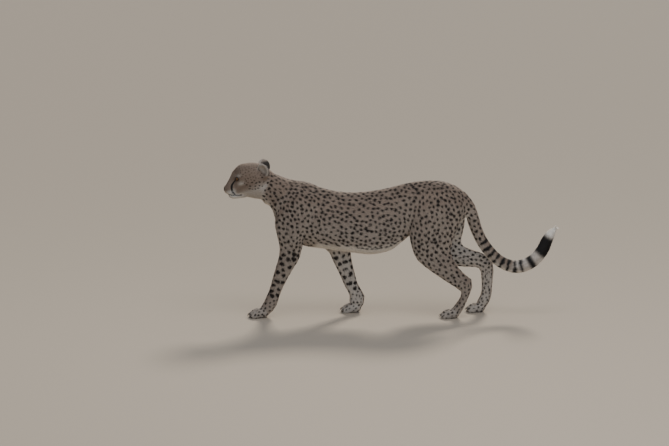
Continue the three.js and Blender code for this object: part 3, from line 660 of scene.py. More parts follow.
# %% Where the spots are
# part: distance between spots, half length along the coat, half width, strength
SPOTS = {
    "torso": (19.2, 8.0, 7.7, 1), "neck": (17.6, 6.4, 6.4, 1), "fore_left_shoulder": (18.4, 7.5, 7.7, 1),
    "fore_right_shoulder": (18.4, 7.5, 7.7, 1), "fore_left_forearm": (26, 9.2, 12.5, 1),
    "fore_right_forearm": (26, 9.2, 13, 1), "hind_left_thigh": (19, 7.8, 7.8, 1),
    "hind_right_thigh": (19, 7.8, 7.8, 1), "hind_left_shank": (18.5, 7.0, 6.6, 1),
    "hind_right_shank": (18.5, 7.0, 6.6, 1), "hind_left_foot": (15.5, 5.8, 5.4, 0.95),
    "hind_right_foot": (15.5, 5.8, 5.4, 0.95), "tail_base": (21, 8.2, 7.8, 1),
    "tail_middle": (27, 11, 11.5, 1), "head": (11.5, 3.0, 2.6, 0.8),
}
OTHER_SPOTS = (15, 5.4, 4.8, 0.95)
CHEEK_SPOTS = (14, 5.2, 3.2, 0.9)
RINGS_FROM = 0.33
MOST_TRIES = 60000
MOST_SPOTS = 6000

spot_kinds = [next((v for k, v in SPOTS.items() if n.startswith(k)), OTHER_SPOTS) for n in FLESH]
kind_at = np.array(spot_kinds, float)[part]
behind, above = head_place(drawn)
kind_at[head & (above < 4)] = CHEEK_SPOTS
no_spots = ear | (head & ((behind < 108) | (above < -46) | (normal[:, 2] < -0.35)))
no_spots |= (torso | neck) & (normal[:, 2] < -0.62)
no_spots |= tail & (tail_at > RINGS_FROM)
candidates = rng.permutation(np.flatnonzero(~no_spots))[:MOST_TRIES]
chosen = []
room = np.empty((MOST_SPOTS, 4))
used = 0
for i in candidates:
    gap = kind_at[i, 0]
    away = ((room[:used, :3] - drawn[i]) ** 2).sum(1)
    if (away > (0.5 * (room[:used, 3] + gap)) ** 2).all():
        room[used] = (*drawn[i], gap)
        chosen.append(i)
        used += 1
print(used, "spots")

# %% [markdown]
# ## Evening out the spots
# Random places leave gaps and clusters that a real coat has not. More tries would not help, so each spot
# moves to the middle of the places that are nearer to it than to any other, three times over.

# %% Evening out the spots


def tree_of(places):
    tree = kdtree.KDTree(len(places))
    for i, p in enumerate(places.tolist()):
        tree.insert(p, i)
    tree.balance()
    return tree


places = drawn[candidates]
place_tree = tree_of(places)
for _ in range(3):
    spot_tree = tree_of(drawn[chosen])
    nearest_spot = np.array([spot_tree.find(p)[1] for p in places.tolist()])
    held = np.maximum(np.bincount(nearest_spot, minlength=used), 1)
    centre = np.stack([np.bincount(nearest_spot, places[:, k], used) / held for k in range(3)], 1)
    chosen = [candidates[place_tree.find(p)[1]] for p in centre.tolist()]
print("places for each spot", int(held.min()), "to", int(held.max()))

# %% [markdown]
# ## The shape of a spot
# No two spots are alike: each is a soft oval, turned, sized and waved by its own random numbers. A point
# asks its nearest spot how far it is from that spot's edge, so a fine mesh shows a crisp edge. A painted
# image would have a fineness of its own.

# %% The shape of a spot
spot_middle = drawn[chosen]
spot_normal = normal[chosen]
turned = rng.normal(0, 0.3, used)[:, None]
spot_along = np.cos(turned) * lie[chosen] + np.sin(turned) * np.cross(spot_normal, lie[chosen])
spot_across = np.cross(spot_normal, spot_along)
spot_size = kind_at[chosen, 1:3] * rng.uniform(0.82, 1.18, (used, 1)) * rng.uniform(0.92, 1.08, (used, 2))
spot_strength = kind_at[chosen, 3]
spot_wave = rng.uniform(0, 2 * math.pi, (used, 3))
BATCH = 16384


def spot_edge(angle, wave):
    """How far out the edge of a spot is in each direction, as a share of its size."""
    edge = 1 + 0.13 * np.sin(2 * angle + wave[0])
    edge = edge + 0.1 * np.sin(3 * angle + wave[1])
    return edge + 0.06 * np.sin(5 * angle + wave[2])


def spots_at(points, normals):
    """How dark the nearest spot makes each point, from 0 to 1."""
    dark = np.zeros(len(points))
    size = spot_size.mean(1)
    for a in range(0, len(points), BATCH):
        here = points[a:a + BATCH]
        away = (here ** 2).sum(1)[:, None] + (spot_middle ** 2).sum(1) - 2 * here @ spot_middle.T
        near = (away / size ** 2).argmin(1)
        offset = here - spot_middle[near]
        along = (offset * spot_along[near]).sum(1) / spot_size[near, 0]
        across = (offset * spot_across[near]).sum(1) / spot_size[near, 1]
        through = (offset * spot_normal[near]).sum(1) / size[near]
        edge = spot_edge(np.arctan2(across, along), spot_wave[near].T)
        radius = np.sqrt(along ** 2 + across ** 2 + through ** 2) / edge
        facing = (normals[a:a + BATCH] * spot_normal[near]).sum(1) > 0
        dark[a:a + BATCH] = step(1.14, 0.86, radius) * spot_strength[near] * facing
    return dark


spot_range = [round(2 * float(v), 1) for v in (spot_size.min(), spot_size.max())]
print("spots are", spot_range, "mm wide")

# %% [markdown]
# ## Bare leather
# Nose, lips and the pads under the toes have no hair. They could be pieces of their own, but on the animal
# the leather runs into the furred skin without a seam, so it is only a field from 0 to 1 over the one skin.

# %% Bare leather


def waves(points, size):
    """A slow, smooth unevenness between -1 and 1 over the body."""
    px, py, pz = points.T / size
    first_wave = np.sin(px * 1.7 + 2 * np.sin(pz))
    second_wave = np.sin(pz * 2.1 + 1.3 * np.sin(py * 2))
    return (first_wave + second_wave + np.sin(py * 1.9 + px)) / 3


def bare_at(points, normals):
    """Bare leather: the nose with its groove, the edges of the lips and the pads under the toes."""
    behind, above = head_place(points)
    across = np.abs(points[:, 1])
    low_edge = -5 + 0.62 * np.clip(across - 3, 0, 20)
    nose = step(15.5, 13.5, behind) * step(low_edge - 1, low_edge + 1, above) * step(17.5, 15.5, across)
    nose *= step(19, 16, above + (across / 15) ** 2 * 2)
    groove = step(2.2, 1.2, across) * step(-24, -21, above) * step(0, -3, above) * step(14, 11, behind)
    lips = step(2.3, 1.3, line_distance(points, mouths))
    pads = step(7, 4, points[:, 2]) * step(-0.55, -0.85, normals[:, 2])
    return np.max([nose, groove, lips, pads], axis=0)


leather_at = bare_at(drawn, normal)
print("points of bare leather", int((leather_at > 0.5).sum()))

# %% [markdown]
# ## Buff and cream
# The coat is buff above and turns cream on belly, throat, inner legs, feet and muzzle. A border at one
# height would be a hard line. The turn follows the way the surface faces, so most rules look at the normal.
# A slow wave keeps the border uneven, and a last blur keeps it soft.

# %% Buff and cream


def pale_of_trunk():
    """The back is darkest; the belly turns cream, further up towards the flank."""
    uneven = waves(drawn, 30) * 0.1
    pale = (0.04 + 0.28 * step(0.6, -0.4, normal[:, 2])) * (1 - 0.6 * neck)
    rear = step(-300, -150, x) * 0.16
    low = step(-0.34 + rear, -0.74 + rear, normal[:, 2] + uneven)
    pale = np.where(torso | neck | tail, np.maximum(pale, low * 0.78), pale)
    breast = (torso | neck) * step(-530, -570, x) * step(-0.45, -0.8, normal[:, 0]) * 0.5
    throat = neck * step(-0.2, -0.6, normal[:, 2]) * 0.55
    return np.max([pale, breast, throat], axis=0)


def pale_of_limbs():
    """The inner side of each leg and the foot."""
    limb = ~(head | ear | neck | torso | tail)
    inward = normal[:, 1] * np.where(of_part(lambda n: "right" in n), 1, -1)
    inside = limb * step(-0.2, -0.75, inward + waves(drawn, 30) * 0.1) * 0.6
    return np.maximum(inside, limb * step(100, 15, z) * 0.4)


def pale_of_head():
    """Muzzle, chin, cheek and a patch under and over the eye."""
    uneven = waves(drawn, 30) * 0.1
    front = 1 + 0.15 * step(0.3, 0.8, -normal[:, 0])
    muzzle = step(62, 46, behind) * step(2, -10, above) * front
    chin = step(-26, -42, above + uneven * 20) * (0.95 - 0.4 * step(50, 100, behind))
    cheek = step(-8, -34, above + uneven * 30) * 0.22
    under_eye = np.exp(-(((behind - 92) / 15) ** 2 + ((above - 11) / 8) ** 2)) * 0.8
    over_eye = np.exp(-(((behind - 94) / 12) ** 2 + ((above - 50) / 5) ** 2)) * 0.6
    return np.max([0.02 + 0 * x, muzzle * 0.85, chin, cheek, under_eye, over_eye], axis=0)


pale_at = np.maximum(pale_of_trunk(), pale_of_limbs())
pale_at = np.where(head, pale_of_head(), pale_at)
pale_at = np.where(ear, 0.5 - 0.3 * step(0, 0.5, normal[:, 0]), pale_at)
pale_at = np.where(tail & (tail_at > 0.6), np.maximum(pale_at, 0.5), pale_at)
pale_at = np.clip(blur(pale_at, 7), 0, 1)
print("cream on", round(100 * float((pale_at > 0.5).mean())), "% of the surface")

# %% [markdown]
# ## Black lines of the face
# The tear line from the inner corner of the eye to the mouth is the cheetah's best-known mark. Like the
# dark lips, the edge of the lids and the rows of dots at the whiskers, it could be painted on, but would
# then be as coarse as the picture. So it is told by the distance from a line on the face.

# %% Black lines of the face
TEAR_HALF_WIDTH = 3.2
TEAR_WIDENS = 1.9


def face_lines(points):
    """Tear line, lips, dark fur round the eyes and the dots at the roots of the whiskers."""
    half = TEAR_HALF_WIDTH + TEAR_WIDENS * step(674, 652, points[:, 2])
    tear = step(half + 1, half - 1, line_distance(points, tears) + 0.6 * waves(points, 4))
    mouth = step(3.8, 2.2, line_distance(points, mouths))
    around_eye = step(4.2, 2.4, line_distance(points, rims))
    corners_of_eyes = [lid_line(side)[0] + (-1, 0, -3) for side in rims]
    corner = np.min([np.linalg.norm(points - place, axis=1) for place in corners_of_eyes], axis=0)
    around_eye = np.maximum(around_eye, step(6.5, 4.5, corner))
    dots = 0.75 * step(1.9, 0.9, line_distance(points, whisker_dots))
    return np.max([tear, mouth, around_eye, dots], axis=0)


print("tear line up to", 2 * (TEAR_HALF_WIDTH + TEAR_WIDENS), "mm wide")

# %% [markdown]
# ## Rings of the tail
# Towards the tip the spots run together into bars, then rings, a broad black brush and a white tip. Each
# bar could be placed by hand, but bars are evenly paced, so they are a wave along the tail whose edge is
# made uneven. Only the rings have places of their own.

# %% Rings of the tail
BAR_SPACING = 0.0455
TAIL_RINGS = ((0.723, 0.762), (0.815, 0.945))


def tail_rings(points, normals, at):
    """How black the bars and rings make each place of the tail."""
    ring = sum(step(a - 0.008, a + 0.008, at) * step(b + 0.008, b - 0.008, at) for a, b in TAIL_RINGS)
    bars = np.cos(2 * math.pi * (at - 0.354) / BAR_SPACING) + 0.75 * waves(points, 11) + 0.45 * normals[:, 2]
    return ring + step(0.0, 0.35, bars) * step(0.325, 0.34, at) * step(0.7, 0.69, at)


print("rings", len(TAIL_RINGS), "bars about", round((0.7 - RINGS_FROM) / BAR_SPACING))

# %% [markdown]
# ## All markings in one function
# Skin and coat must always agree, or spots would blur where hair parts. So one function gives the markings
# of any place, and both ask it: how pale it is, how dark its spot, how black its lines and where it is
# bare. Each tuft asks for the place where it shows, at its middle and its tip.

# %% All markings in one function


def markings(points, normals, nearest):
    """Colour fields of any points; `nearest` is the point of the surface that each belongs to."""
    at, _ = tail_place(points[:, 0], points[:, 2])
    height = points[:, 2]
    lips = face_lines(points) * head[nearest]
    ear_back = ear[nearest] * step(0.1, 0.6, normals[:, 0]) * step(700, 712, height) * step(757, 745, height)
    rings = tail[nearest] * tail_rings(points, normals, at)
    lines = np.clip(np.max([lips, ear_back * 0.9, rings], axis=0), 0, 1)
    tip = tail[nearest] * step(0.944, 0.956, at)
    cream = np.maximum(pale_at[nearest], tip)
    spot = spots_at(points, normals) * (1 - tip) * step(0.95, 0.75, cream)
    return {"cream": cream, "spot": spot, "line": lines, "bare": bare_at(points, normals)}


def write_values(ob, fields):
    for name, value in fields.items():
        layer = ob.data.attributes.new(name, "FLOAT", "POINT")
        layer.data.foreach_set("value", np.asarray(value, np.float32))


print("fields", sorted(markings(drawn[:9], normal[:9], np.arange(9))))

# %% [markdown]
# ## Helpers for shader nodes
# The paints below are small nets of nodes. Setting up each node takes several lines, so five short helpers
# make sockets, nodes, colour mixes, attribute readers and value ranges.

# %% Helpers for shader nodes


def socket(tree, name, kind, value=None, output=False):
    way = "OUTPUT" if output else "INPUT"
    made = tree.interface.new_socket(name, in_out=way, socket_type=f"NodeSocket{kind}")
    if value is not None:
        made.default_value = value


def new_node(tree, kind, **inputs):
    made = tree.nodes.new(kind)
    for name, value in inputs.items():
        made.inputs[name.replace("_", " ")].default_value = value
    return made


def mix_colour(tree, factor, first_colour, second_colour, blend="MIX"):
    made = tree.nodes.new("ShaderNodeMix")
    made.data_type = "RGBA"
    made.blend_type = blend
    for index, value in ((0, factor), (6, first_colour), (7, second_colour)):
        if isinstance(value, bpy.types.NodeSocket):
            tree.links.new(value, made.inputs[index])
        else:
            made.inputs[index].default_value = value
    return made.outputs[2]


def attribute(tree, name):
    made = tree.nodes.new("ShaderNodeAttribute")
    made.attribute_name = name
    return made.outputs["Fac"]


def ranged(tree, value, low, high):
    made = new_node(tree, "ShaderNodeMapRange", To_Min=low, To_Max=high)
    tree.links.new(value, made.inputs["Value"])
    return made.outputs[0]


print("node helpers", [f.__name__ for f in (socket, new_node, mix_colour, attribute, ranged)])

# %% [markdown]
# ## The colour of the coat
# Skin and tufts show the same colours. Two copies of the same nodes would soon differ, so both use one node
# group. It mixes buff and cream, paints shade that darkens towards the root of the hair, shifts each tuft
# by its own tint and lays near-black spots and lines over it.

# %% The colour of the coat
BUFF = (0.292, 0.208, 0.15, 1)
CREAM = (0.86, 0.80, 0.71, 1)
SPOT_BLACK = (0.016, 0.011, 0.009, 1)
LINE_BLACK = (0.012, 0.010, 0.009, 1)


def coat_colour_group():
    tree = bpy.data.node_groups.new("coat_colour", "ShaderNodeTree")
    for name in ("Cream", "Spot", "Line", "Tint", "Along"):
        socket(tree, name, "Float", 0.0)
    for name, colour in (("Buff", BUFF), ("Pale", CREAM), ("Dark", SPOT_BLACK)):
        socket(tree, name, "Color", colour)
    socket(tree, "Color", "Color", output=True)
    given = tree.nodes.new("NodeGroupInput").outputs
    result = tree.nodes.new("NodeGroupOutput")
    base = mix_colour(tree, given["Cream"], given["Buff"], given["Pale"])
    both = tree.nodes.new("ShaderNodeMath")
    both.operation = "MULTIPLY"
    # painted shade: darker at the root of the hair, lighter at its tip
    tree.links.new(ranged(tree, given["Along"], 0.62, 1.12), both.inputs[0])
    tree.links.new(ranged(tree, given["Tint"], 0.8, 1.2), both.inputs[1])
    tinted = new_node(tree, "ShaderNodeHueSaturation", Saturation=0.95)
    tree.links.new(both.outputs[0], tinted.inputs["Value"])
    tree.links.new(base, tinted.inputs["Color"])
    spotted = mix_colour(tree, given["Spot"], tinted.outputs[0], given["Dark"])
    lined = mix_colour(tree, given["Line"], spotted, LINE_BLACK)
    tree.links.new(lined, result.inputs["Color"])
    return tree


coat_colour = coat_colour_group()
print("coat colour group has", len(coat_colour.nodes), "nodes")

# %% [markdown]
# ## Paint of the tufts
# Hair scatters light in many ways, and a hair shader would need real strands. For leaves of solid mesh a
# rough surface with a weak sheen gives the soft bright edge that fur has against the light.

# %% Paint of the tufts


def fur_material(name, roughness, sheen):
    """A rough paint with the coat's colour; gives back its node tree, colour and shader too."""
    made = bpy.data.materials.new(name)
    made.use_nodes = True
    tree = made.node_tree
    paint = tree.nodes.new("ShaderNodeGroup")
    paint.node_tree = coat_colour
    for field in ("cream", "spot", "line", "tint", "along"):
        tree.links.new(attribute(tree, field), paint.inputs[field.capitalize()])
    shader = tree.nodes["Principled BSDF"]
    shader.inputs["Roughness"].default_value = roughness
    shader.inputs["Specular IOR Level"].default_value = 0.3
    shader.inputs["Sheen Weight"].default_value = sheen
    shader.inputs["Sheen Roughness"].default_value = 0.4
    tree.links.new(paint.outputs["Color"], shader.inputs["Base Color"])
    return made, tree, paint.outputs["Color"], shader


fur_paint, _, _, _ = fur_material("coat_fur", 0.7, 0.12)
print("paint", fur_paint.name)

# %% [markdown]
# ## Paint of the skin
# Between the tufts the skin shows the same colour, made darker as painted shade under the coat. A skin of
# one plain colour would show through the spots. Where it is bare it is near-black leather, smoother than
# fur, and a fine noise bump gives both their grain.

# %% Paint of the skin
LEATHER = (0.014, 0.011, 0.011, 1)
skin_paint, tree, coat_shown, shader = fur_material("skin_under_fur", 0.75, 0.0)
bare = attribute(tree, "bare")
tree.links.new(mix_colour(tree, bare, coat_shown, LEATHER), shader.inputs["Base Color"])
tree.links.new(ranged(tree, bare, 0.75, 0.42), shader.inputs["Roughness"])
grain = new_node(tree, "ShaderNodeTexNoise", Scale=900.0, Detail=2.0)
place = tree.nodes.new("ShaderNodeTexCoord")
tree.links.new(place.outputs["Object"], grain.inputs["Vector"])
bump = new_node(tree, "ShaderNodeBump", Strength=0.35, Distance=0.0006)
tree.links.new(grain.outputs["Fac"], bump.inputs["Height"])
tree.links.new(bump.outputs["Normal"], shader.inputs["Normal"])
print("paint", skin_paint.name)

# %% [markdown]
# ## The skin, thinned
# The skin is the rounded surface moved in by the depth of the coat. The wrap has about as many triangles on
# the flat flank as on the lids. An even cut would spoil the face, so a vertex group tells where the form is
# plain and may lose more. Under bare leather there is no coat, so the skin stays almost at the surface
# there.

# %% The skin, thinned
SKIN_TRIANGLES = 140000
LEVELS = 10
inner = surface - normal * (depth * (1 - 0.85 * leather_at))[:, None]
skin.data.vertices.foreach_set("co", inner.astype(np.float32).ravel())
skin.data.update()
keep = skin.vertex_groups.new(name="plain")
plain = np.clip(0.15 + 0.85 * step(-700, -600, x) * ~ear, 0, 1)
for level in range(LEVELS + 1):
    keep.add(np.flatnonzero(np.round(plain * LEVELS) == level).tolist(), level / LEVELS, "REPLACE")
thin = skin.modifiers.new("thin", "DECIMATE")
thin.ratio = SKIN_TRIANGLES / (2 * len(skin.data.polygons))
thin.vertex_group = "plain"
thin.vertex_group_factor = 0.6
apply_modifiers(skin)
skin.vertex_groups.clear()
print("thinned to", len(skin.data.polygons), "triangles")

# %% [markdown]
# ## Finer mesh on the face
# Nostrils, lids and lips are a few millimetres large and need points closer than the rest. Subdividing the
# whole skin would make it four times as heavy, so only the edges in three small regions are halved.

# %% Finer mesh on the face


def near_mouth_and_nose(points):
    behind, above = head_place(points)
    return (behind < 32) & (above > -48) & (above < 26)


def near_eyes(points):
    return line_distance(points, rims) < 9


def on_nose(points):
    behind, above = head_place(points)
    return (behind < 18) & (above > -20) & (above < 21)


def refine(ob, is_inside):
    """Halves the edges of the triangles in one region."""
    bm = bmesh.new()
    bm.from_mesh(ob.data)
    picked = is_inside(to_drawing([v.co for v in bm.verts]))
    halved = [e for e in bm.edges if picked[e.verts[0].index] and picked[e.verts[1].index]]
    bmesh.ops.subdivide_edges(bm, edges=halved, cuts=1, use_grid_fill=True)
    bmesh.ops.triangulate(bm, faces=[f for f in bm.faces if len(f.verts) > 3])
    bm.to_mesh(ob.data)
    bm.free()


for region in (near_mouth_and_nose, near_eyes, on_nose):
    refine(skin, region)
print("refined to", len(skin.data.polygons), "triangles")

# %% [markdown]
# ## Hollows of the face and room for the claws
# Nostrils, the groove of the lip and the line of the mouth have real depth, because a bump would look flat
# from the side. Round each claw the skin draws back a little, so that the claw stands proud of the toe.

# %% Hollows of the face and room for the claws
NOSTRIL_DEPTH = 4.5
SLIT_DEPTH = 2.0
GROOVE_DEPTH = 1.3
MOUTH_DEPTH = 1.4
CLAW_ROOM = 1.7
CLAW_REACH = 0.004
CLAWS_BELOW = 0.05
LEAST_HEIGHT = 0.0003


def hollows(points):
    """How deep the nostrils and their slits, the groove of the lip and the mouth are, in millimetres."""
    behind, above = head_place(points)
    across = np.abs(points[:, 1])
    hole = np.hypot((across - 8.2) / 3.9, (above - 4.2) / 3.0)
    slit = along_line(np.stack([across, above], 1), (9.5, 2.8), (15.5, 7.5))
    deep = NOSTRIL_DEPTH * step(1.15, 0.35, hole) + SLIT_DEPTH * step(2.3, 0.7, slit)
    groove = GROOVE_DEPTH * step(1.9, 0.4, across) * step(-20, -17, above) * step(8, 4, above)
    deep = np.maximum(deep, groove) * step(14, 9, behind)
    return np.maximum(deep, MOUTH_DEPTH * step(2.6, 0.6, line_distance(points, mouths)))


claw_points, claw_tris, start = [], [], 0
for node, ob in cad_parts.items():
    if "claw" in node:
        co, _, tri = read_mesh(ob.data)
        claw_points += co.tolist()
        claw_tris += (tri + start).tolist()
        start += len(co)
claw_tree = BVHTree.FromPolygons(claw_points, claw_tris)


def claw_distance(point, reach):
    """How far a point is from the nearest claw, or None past `reach`; both in metres."""
    return claw_tree.find_nearest(point.tolist(), reach)[3]


fine_points, fine_normals, _ = read_mesh(skin.data)
sunk = hollows(to_drawing(fine_points))
for i in np.flatnonzero(fine_points[:, 2] < CLAWS_BELOW):
    found = claw_distance(fine_points[i], CLAW_REACH)
    if found is not None:
        sunk[i] += CLAW_ROOM * step(CLAW_REACH, 0.001, found)
fine_points = fine_points - fine_normals * sunk[:, None] / 1000
fine_points[:, 2] = np.maximum(fine_points[:, 2], LEAST_HEIGHT)
skin.data.vertices.foreach_set("co", fine_points.astype(np.float32).ravel())
skin.data.update()
skin.data.shade_smooth()
print("deepest hollow", round(float(sunk.max()), 1), "mm")

# %% [markdown]
# ## Markings on the skin
# Each point of the thinned skin asks the markings for its colours. They could be painted into an image, but
# that needs a flat map with seams, and the points are close enough to carry them. It also needs a point of
# the full surface, which knows the part it belongs to, and finds it through the nearest face. The skin then
# takes the place of all solids of flesh.

# %% Markings on the skin
skin_points, skin_normals, skin_tris = read_mesh(skin.data)
corner_of = np.array([corners[0] for corners in surface_faces])
skin_owner = corner_of[[surface_tree.find_nearest(p)[2] for p in skin_points.tolist()]]
fields = markings(to_drawing(skin_points), skin_normals, skin_owner)
fields["tint"] = np.full(len(skin_points), 0.5)
# painted shade: the skin under the coat takes the dark of the hair's roots
fields["along"] = np.full(len(skin_points), 0.25)
write_values(skin, fields)
skin.data.materials.append(skin_paint)
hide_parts(*FLESH)
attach(skin, "root")
print("skin has", len(skin_tris), "triangles")

# %% [markdown]
# ## Where the tufts grow
# Particle hair would be quick, but it is no solid mesh. The coat is made of thin closed leaves instead,
# rooted on the skin 1.8 to 3.5 mm apart, closest on face, ears and paws. Each point of the surface gets as
# many roots as its cell has room for, moved a little by a seeded random amount. Bare leather has none, nor
# has the very tip of the tail, where they would stand straight out.

# %% Where the tufts grow
WIDER = 1.02
SPACING = {"head": 2.0, "ear": 2.0, "neck": 3.1, "torso": 3.4, "tail_tip": 2.8, "tail_end": 3.0, "tail": 3.2}
PAW_SPACING = 2.4
FACE_SPACING = 1.75

spacing = by_part(SPACING, 3.0) * WIDER
spacing = np.where(is_paw, PAW_SPACING * WIDER, spacing)
spacing = np.where(face > 0.5, FACE_SPACING * WIDER, spacing)
amount = (CELL * 1000 / spacing) ** 2
amount[(leather_at > 0.4) | (brush > 0.6)] = 0
copies = np.floor(amount + rng.uniform(0, 1, len(amount))).astype(int)
owner = np.repeat(np.arange(len(surface)), copies)
jitter = rng.uniform(-0.65, 0.65, (2, len(owner), 1)) * CELL
roots = inner[owner] + lie[owner] * jitter[0] + np.cross(normal, lie)[owner] * jitter[1]
print("roots", len(owner))

# %% [markdown]
# ## Length and width of the tufts
# Real hair varies in length from one to the next. One length for a whole part would look mown, so each tuft
# gets its own share of the length told for its place. Near a claw the hair stops short, as on a real toe,
# where it would otherwise grow through the claw.

# %% Length and width of the tufts
NEAR_CLAW = 0.008
SHORTEST = 0.0008

length_at = hair[owner] * rng.uniform(0.75, 1.2, len(owner)) / 1000
for i in np.flatnonzero(is_paw[owner]):
    found = claw_distance(roots[i], NEAR_CLAW)
    if found is not None:
        length_at[i] = min(length_at[i], max(SHORTEST, found * 0.8))
width_at = (0.4 + 0.14 * hair[owner]) * math.sqrt(WIDER) / 1000
print("tufts are", [round(float(v) * 1000, 1) for v in (length_at.min(), length_at.max())], "mm long")

# %% [markdown]
# ## An unwrap for each piece of coat
# The coat is divided into pieces like a patchwork: head, ears, neck, chest, loin, legs and tail. To be
# painted, each needs a flat map. An unwrap by seams would tear a quarter of a million tufts apart, so a
# root's place on the map is worked out: how far along the piece's bent axis it stands, and how far round
# it.

# %% An unwrap for each piece of coat
# (x, z, y) of the bends of each piece's axis
AXES = {
    "coat_head": [(-840, 612, 0), (-600, 680, 0)],
    "coat_ears": [(-650, 690, 0), (-600, 780, 0)],
    "coat_neck": [(-700, 660, 0), (-480, 560, 0)],
    "coat_chest": [(-620, 500, 0), (-100, 470, 0)],
    "coat_loin": [(-260, 470, 0), (420, 540, 0)],
    "coat_fore_left": [(-440, 620, -60), (-473, 367, -60), (-585, 87, -60), (-660, 10, -60)],
    "coat_fore_right": [(-440, 620, 60), (-263, 323, 60), (-146, 63, 60), (-210, 8, 60)],
    "coat_hind_left": [(290, 640, -70), (161, 341, -70), (322, 164, -70), (304, 20, -70), (260, 5, -70)],
    "coat_hind_right": [(300, 640, 70), (200, 316, 70), (478, 239, 70), (436, 20, 70), (390, 5, 70)],
    "coat_tail": [(a, b, 0) for a, b in TAIL],
}
MAP_MARGIN = 0.004
CHEST_ENDS = -180
PAST_AN_END = 40


def piece_of(name):
    """The coat piece that a part of the body belongs to; the trunk is divided by place instead."""
    if name.startswith(("fore", "hind")):
        return "coat_" + "_".join(name.split("_")[:2])
    known = {"head": "coat_head", "ear": "coat_ears", "neck": "coat_neck", "tail": "coat_tail"}
    return known.get(name.split("_")[0], "trunk")


def unwrap(points, axis):
    """How far along a bent axis and how far round it each point is, both filling 0 to 1."""
    axis = np.array([(a, c, b) for a, b, c in axis], float)
    runs = axis[1:] - axis[:-1]
    length = np.linalg.norm(runs, axis=1)
    before = np.concatenate([[0], np.cumsum(length)])
    nearest = np.stack([along_line(points, a, b) for a, b in zip(axis[:-1], axis[1:])]).argmin(0)
    offset = points - axis[nearest]
    along = (offset * runs[nearest]).sum(1) / length[nearest]
    out = offset - along[:, None] * unit(runs)[nearest]
    up = np.cross(unit(runs)[nearest], (0, 1, 0))
    angle = np.arctan2(out[:, 1], (out * up).sum(1))
    u = np.clip(before[nearest] + along, before[nearest] - PAST_AN_END, before[nearest + 1] + PAST_AN_END)
    u = (u - u.min()) / np.ptp(u)
    v = (angle - angle.min()) / np.ptp(angle)
    return MAP_MARGIN + (1 - 2 * MAP_MARGIN) * np.stack([u, v], 1)


piece_at = np.array([piece_of(n) for n in FLESH])[part][owner]
trunk_piece = np.where(to_drawing(roots)[:, 0] < CHEST_ENDS, "coat_chest", "coat_loin")
piece_at = np.where(piece_at == "trunk", trunk_piece, piece_at)
print("coat pieces", {name: int((piece_at == name).sum()) for name in AXES})

# %% [markdown]
# ## The shape of a tuft
# A flat strip has no thickness, and a cone would look like a spine. A tuft is a closed leaf: a root sunk in
# the skin, a ring of three points where it is widest, and a tip, which make six triangles. Each leaf leans
# and bends its own way, and the leaves overlap along the lie as locks of hair do.

# %% The shape of a tuft
# root, left, middle and right of the waist, tip; the third and the last face look towards the skin
LEAF_FACES = np.array([(0, 1, 2), (0, 2, 3), (0, 3, 1), (4, 2, 1), (4, 3, 2), (4, 1, 3)])
UNDERSIDE = slice(2, 6, 3)
WAIST = 0.42
SUNK_SHARE = 0.35
TUFT_LEAST_HEIGHT = 0.0006


def leaf_points(root, up, along, across, long, wide, thick):
    """The five points of each leaf, with the places of its waist and its tip."""
    n = len(root)
    waist = root + along * long * WAIST + up * thick * rng.uniform(0.45, 0.75, (n, 1))
    rise = rng.uniform(0.7, 1.15, (n, 1))
    bend = rng.normal(0, 0.05, (n, 1))
    tip = root + along * long + up * thick * rise + across * long * bend
    points = np.stack([
        root - up * (SUNK_SHARE * thick + 0.0003), waist - across * wide * 0.5 - up * wide * 0.12,
        waist + up * wide * 0.26, waist + across * wide * 0.5 - up * wide * 0.12, tip], 1)
    points[..., 2] = np.maximum(points[..., 2], TUFT_LEAST_HEIGHT)
    return points, waist, tip


print("a tuft has", len(LEAF_FACES), "triangles")

# %% [markdown]
# ## The shading of a tuft
# Shaded as they are, thousands of leaves look like scales. Shaded only as the skin they would look painted
# on. So the upper faces take half of the leaf's own direction and half of the skin's. The underside, which
# shows mostly beyond the outline of the body, keeps its own, or it would turn black against the light.

# %% The shading of a tuft


def leaf_shading(points, up, along, across):
    """The shading normal of every corner of every leaf."""
    own = np.stack([-along, -across * 0.8 + up * 0.5, up, across * 0.8 + up * 0.5, along * 0.4 + up], 1)
    shading = unit(0.5 * unit(own) + 0.5 * up[:, None, :])[:, LEAF_FACES]
    a, b, c = (points[:, LEAF_FACES[UNDERSIDE, k]] for k in range(3))
    shading[:, UNDERSIDE] = unit(np.cross(b - a, c - a))[:, :, None]
    return shading


print("shading of", LEAF_FACES[UNDERSIDE].tolist(), "is their own")

# %% [markdown]
# ## Growing the coat
# All leaves of a piece go into one mesh, because objects of their own would be far too many. Each leaf
# carries its markings at the waist and the tip, a random tint of its own, and a patch on the map as small
# as the tuft itself.

# %% Growing the coat
PATCH = np.array([(-0.0014, 0), (0.0001, -0.0014), (0.0001, 0), (0.0001, 0.0014), (0.0014, 0)])
# painted shade along each leaf, from the dark root (0) to the light tip (1)
SHADE_ALONG_LEAF = [0.0, 0.55, 0.6, 0.55, 1.0]
MOST_TRIANGLES = 190000


def leaf_colours(waist, tip, up, nearest):
    """The colour fields of the five points of every leaf."""
    at_waist = markings(to_drawing(waist), up, nearest)
    at_tip = markings(to_drawing(tip), up, nearest)
    fields = {k: np.stack([at_waist[k]] * 4 + [at_tip[k]], 1).ravel() for k in ("cream", "spot", "line")}
    fields["tint"] = np.repeat(rng.uniform(0, 1, len(waist)), 5)
    fields["along"] = np.tile(SHADE_ALONG_LEAF, len(waist))
    return fields


